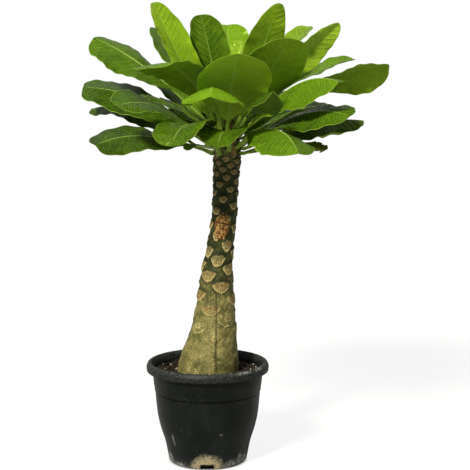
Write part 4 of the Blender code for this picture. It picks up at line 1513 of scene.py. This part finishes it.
def halved_cube() -> tuple[Array, Array]:
    """A cube cut in two each way: 26 points at -1, 0 and 1 along the axes, and 24 faces that look outward.

    Returns:
        The points, and the numbers of each face's corners.
    """
    points = [point for point in product((-1, 0, 1), repeat=3) if any(point)]
    faces = []
    for axis, end, a, b in product(range(3), (-1, 1), (-1, 0), (-1, 0)):
        corners = []
        for place in ((a, b), (a + 1, b), (a + 1, b + 1), (a, b + 1)):
            corners.append(points.index((*place[:axis], end, *place[axis:])))
        outward = (end > 0) == (axis != 1)
        faces.append(corners if outward else corners[::-1])
    return np.array(points), np.array(faces)


@dataclass(frozen=True)
class Scatter:
    """Loose grains on the bed: how many, their half sizes, thickness against width, lean and seed."""

    count: int
    small: float
    large: float
    flat: float
    lean: float
    seed: int


@dataclass
class Soil:
    """The potting mix: a lumpy bed round the stem, with bark crumbs and white grains lying on it.

    The grains on the lip are given by their turns from the front in degrees, how far in they lie, as a
    share of the lip's flat, and their half sizes in millimetres. Sunk is the share of a grain's half
    height that its middle lies above what carries it.
    """

    pot: Pot
    stem: Stem
    top: float = 0.1272
    gap: float = 0.0003
    sides: int = 220
    rows: int = 34
    wave: float = 0.0012
    crumbs: Scatter = Scatter(620, 0.0011, 0.0048, 0.42, 28.0, 51)
    grains: Scatter = Scatter(230, 0.0007, 0.0017, 0.75, 60.0, 53)
    lip_turns: tuple = (3, 9.5, -4, 24, 31, 47, -22, -35, -58, 66, 75, 120, 170, 205)
    lip_inward: tuple = (0.2, 0.9, 0.8, 0.5, 0.9, 0.3, 0.7, 0.4, 0.6, 0.8, 0.4, 0.5, 0.7, 0.3)
    lip_halves: tuple = (1.1, 0.7, 0.5, 0.6, 0.5, 0.7, 0.5, 0.6, 0.5, 0.6, 0.5, 0.7, 0.6, 0.6)
    lip_lean: float = 40.0
    lip_seed: int = 55
    sunk: float = 0.45

    def lift(self, points: Array) -> Array:
        """Height of the bed over its mean level: two crossed sines and finer noise, fading at its edges.

        Args:
            points: X and Y of each place.

        Returns:
            The lift in metres.
        """
        x, y = points[..., 0], points[..., 1]
        radius = np.hypot(x, y)
        fade = smooth(self.stem.stub_radius, 0.0500, radius) * (1 - smooth(0.0660, 0.0740, radius))
        waves = np.sin(x * 190 + 1.0) * np.cos(y * 170 + 0.4) + 0.6 * np.sin((x + y) * 310 + 2.1)
        fine = 0.0009 * ripple(points, 0.008, 41) + 0.0005 * ripple(points, 0.0035, 42, 20)
        return self.wave * fade * waves + fine * np.minimum(fade + 0.3, 1.0)

    def bed(self) -> Skin:
        """The closed bed: from the pot's floor, up its wall, over the lumpy top and down the stem's hole.

        Returns:
            The surface.
        """
        hole = self.stem.stub_radius + self.gap
        low, high = self.pot.floor + self.gap, self.stem.stub_foot - self.gap
        rise = np.linspace(0.012, 0.116, 14)
        wall = np.stack([self.pot.inside_radius(rise) - self.gap, rise], axis=-1)
        across = np.linspace(float(self.pot.inside_radius(self.top)) - self.gap, hole, self.rows)
        over = np.stack([across, np.full(self.rows, self.top)], axis=-1)
        ends = [(0.03, low), (0.0487, low)], [(hole, 0.11), (hole, high), (0.02, high)]
        rings, _ = turned(np.concatenate([ends[0], wall, over, ends[1]]), self.sides)
        seen = slice(len(ends[0]) + len(wall), -len(ends[1]))
        rings[seen, :, 2] += self.lift(rings[seen, :, :2])
        return closed_rings(rings, UPWARD * low, UPWARD * high)

    def lumps(self, centres: Array, sizes: Array, lean: float, seed: int) -> Skin:
        """Loose grains: each a halved cube drawn partly to a ball, dented, turned and leaned by chance.

        Args:
            centres: Place of each grain.
            sizes: Half sizes of each grain along its three axes.
            lean: Most that a grain leans, in degrees.
            seed: Seed of the dents and turns.

        Returns:
            All the grains as one surface, with a value shade that is the same over each.
        """
        draw = np.random.default_rng(seed)
        cube, faces = halved_cube()
        block = unit(cube) * 0.6 + cube / 1.35 * 0.4
        count = len(centres)
        dented = block[None] * (1 + draw.uniform(-0.22, 0.22, (count, len(block), 1))) * sizes[:, None, :]
        yaw = draw.uniform(0, FULL_TURN, (count, 1))
        tip = np.radians(draw.uniform(0, lean, (count, 1)))
        way = draw.uniform(0, FULL_TURN, (count, 1))
        # Level places are complex numbers, which a turn multiplies
        level = (dented[..., 0] + 1j * dented[..., 1]) * np.exp(1j * (yaw - way))
        z = dented[..., 2]
        leaned = (level.real * np.cos(tip) + z * np.sin(tip) + 1j * level.imag) * np.exp(1j * way)
        z = z * np.cos(tip) - level.real * np.sin(tip)
        points = np.stack([leaned.real, leaned.imag, z], axis=-1) + centres[:, None, :]
        index = faces[None] + (np.arange(count) * len(block))[:, None, None]
        shade = np.repeat(draw.uniform(0, 1, count), len(block))
        return Skin(points.reshape(-1, 3), [index.reshape(-1, 4)], {"shade": shade})

    def scattered(self, scatter: Scatter) -> Skin:
        """Grains on the bed, half sunk in it and clear of the pot and the stem.

        Args:
            scatter: How many, how large and from which seed.

        Returns:
            The grains.
        """
        draw = np.random.default_rng(scatter.seed)
        count = scatter.count
        size = scatter.small + (scatter.large - scatter.small) * draw.uniform(0, 1, count) ** 2.2
        inner = self.stem.stub_radius + size * 0.8
        outer = float(self.pot.inside_radius(self.top)) - size * 1.25
        radius = np.sqrt(draw.uniform(0, 1, count) * (outer ** 2 - inner ** 2) + inner ** 2)
        turn = draw.uniform(0, FULL_TURN, count)
        place = np.stack([radius * np.cos(turn), radius * np.sin(turn)], axis=-1)
        sizes = np.stack([size, size * draw.uniform(0.55, 0.95, count), size * scatter.flat], axis=-1)
        height = self.top + self.lift(place) + sizes[:, 2] * self.sunk
        return self.lumps(np.column_stack([place, height]), sizes, scatter.lean, scatter.seed + 1)

    def on_lip(self) -> Skin:
        """The few grains that lie on the pot's lip.

        Returns:
            The grains.
        """
        half = np.array(self.lip_halves) * MILLIMETRE
        radius = self.pot.lip_radius - 0.0034 - 0.0026 * np.array(self.lip_inward)
        angle = FRONT + np.radians(self.lip_turns)
        height = self.pot.lip_top + half * self.sunk
        centres = np.stack([radius * np.cos(angle), radius * np.sin(angle), height], axis=-1)
        return self.lumps(centres, half[:, None] * np.array([1.0, 0.8, 0.7]), self.lip_lean, self.lip_seed)

    def dress(self) -> None:
        """Lay the bed, the bark crumbs and the white grains."""
        show(self.bed().mesh("soil_bed"), SoilFinish().make(), Slot.SOIL, "soil")
        white = WHITE_GRAIN.make()
        show(self.scattered(self.crumbs).mesh("bark_crumbs", 30.0), BARK.make(), Slot.SOIL)
        show(self.scattered(self.grains).mesh("white_grains", 40.0), white, Slot.SOIL)
        show(self.on_lip().mesh("lip_grains", 40.0), white, Slot.SOIL)


# Studio


@dataclass
class Studio:
    """A white floor under an even sky, one broad soft sun from the upper left, and the front camera."""

    place: tuple = (0.038, -1.80, 0.56)
    pitch: float = 82.3
    lens: float = 101.34
    sensor: float = 36.0
    clip: tuple = (0.05, 60.0)
    floor_half: float = 30.0
    floor_drop: float = 0.0002
    sky: float = 0.32
    sun: float = 3.6
    sun_spread: float = 9.0
    sun_way: tuple = (-0.42, -0.82, 0.70)
    sun_colour: Colour = (1.0, 0.97, 0.88)

    def world(self) -> bpy.types.World:
        """An even sky, dimmer as a light than the white that the camera sees behind the part.

        Returns:
            The world.
        """
        world = bpy.data.worlds.new("studio")
        world.use_nodes = True
        nodes, links = world.node_tree.nodes, world.node_tree.links
        sky, backdrop = nodes["Background"], nodes.new("ShaderNodeBackground")
        sky.inputs["Strength"].default_value = self.sky
        for background in (sky, backdrop):
            background.inputs["Color"].default_value = (1.0, 1.0, 1.0, 1.0)
        mix = nodes.new("ShaderNodeMixShader")
        links.new(nodes.new("ShaderNodeLightPath").outputs["Is Camera Ray"], mix.inputs[0])
        links.new(sky.outputs[0], mix.inputs[1])
        links.new(backdrop.outputs[0], mix.inputs[2])
        links.new(mix.outputs[0], nodes["World Output"].inputs["Surface"])
        return world

    def build(self) -> None:
        """Lay the floor, hang the sun and set the camera."""
        scene = bpy.context.scene
        corners = np.array([(-1, -1, 0), (1, -1, 0), (1, 1, 0), (-1, 1, 0)]) * self.floor_half
        mesh = Skin(corners - UPWARD * self.floor_drop, [np.array([[0, 1, 2, 3]])]).mesh("floor")
        mesh.materials.append(FloorFinish().make())
        linked("floor", mesh)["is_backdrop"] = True
        scene.world = self.world()
        light = bpy.data.lights.new("sun", "SUN")
        light.energy, light.angle, light.color = self.sun, math.radians(self.sun_spread), self.sun_colour
        linked("sun", light).rotation_euler = Vector(self.sun_way).to_track_quat("Z", "Y").to_euler()
        data = bpy.data.cameras.new("camera")
        data.lens, data.sensor_width = self.lens, self.sensor
        data.clip_start, data.clip_end = self.clip
        scene.camera = linked("camera", data)
        scene.camera.location = self.place
        scene.camera.rotation_euler = (math.radians(self.pitch), 0.0, 0.0)
        scene.view_settings.view_transform = "Standard"
        LOG.info("studio: floor, sun and camera")


def main() -> None:
    """Dress the part: stem, crown, pot and soil, then the studio."""
    logging.basicConfig(level=logging.INFO, format="%(name)s %(message)s")
    cad_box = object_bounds()
    stem, pot = Stem(), Pot()
    stem.dress()
    Crown(stem, (np.array(cad_box[0]), np.array(cad_box[1]))).dress()
    pot.dress()
    Soil(pot, stem).dress()
    Studio().build()
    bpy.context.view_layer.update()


if __name__ == "__main__":
    main()
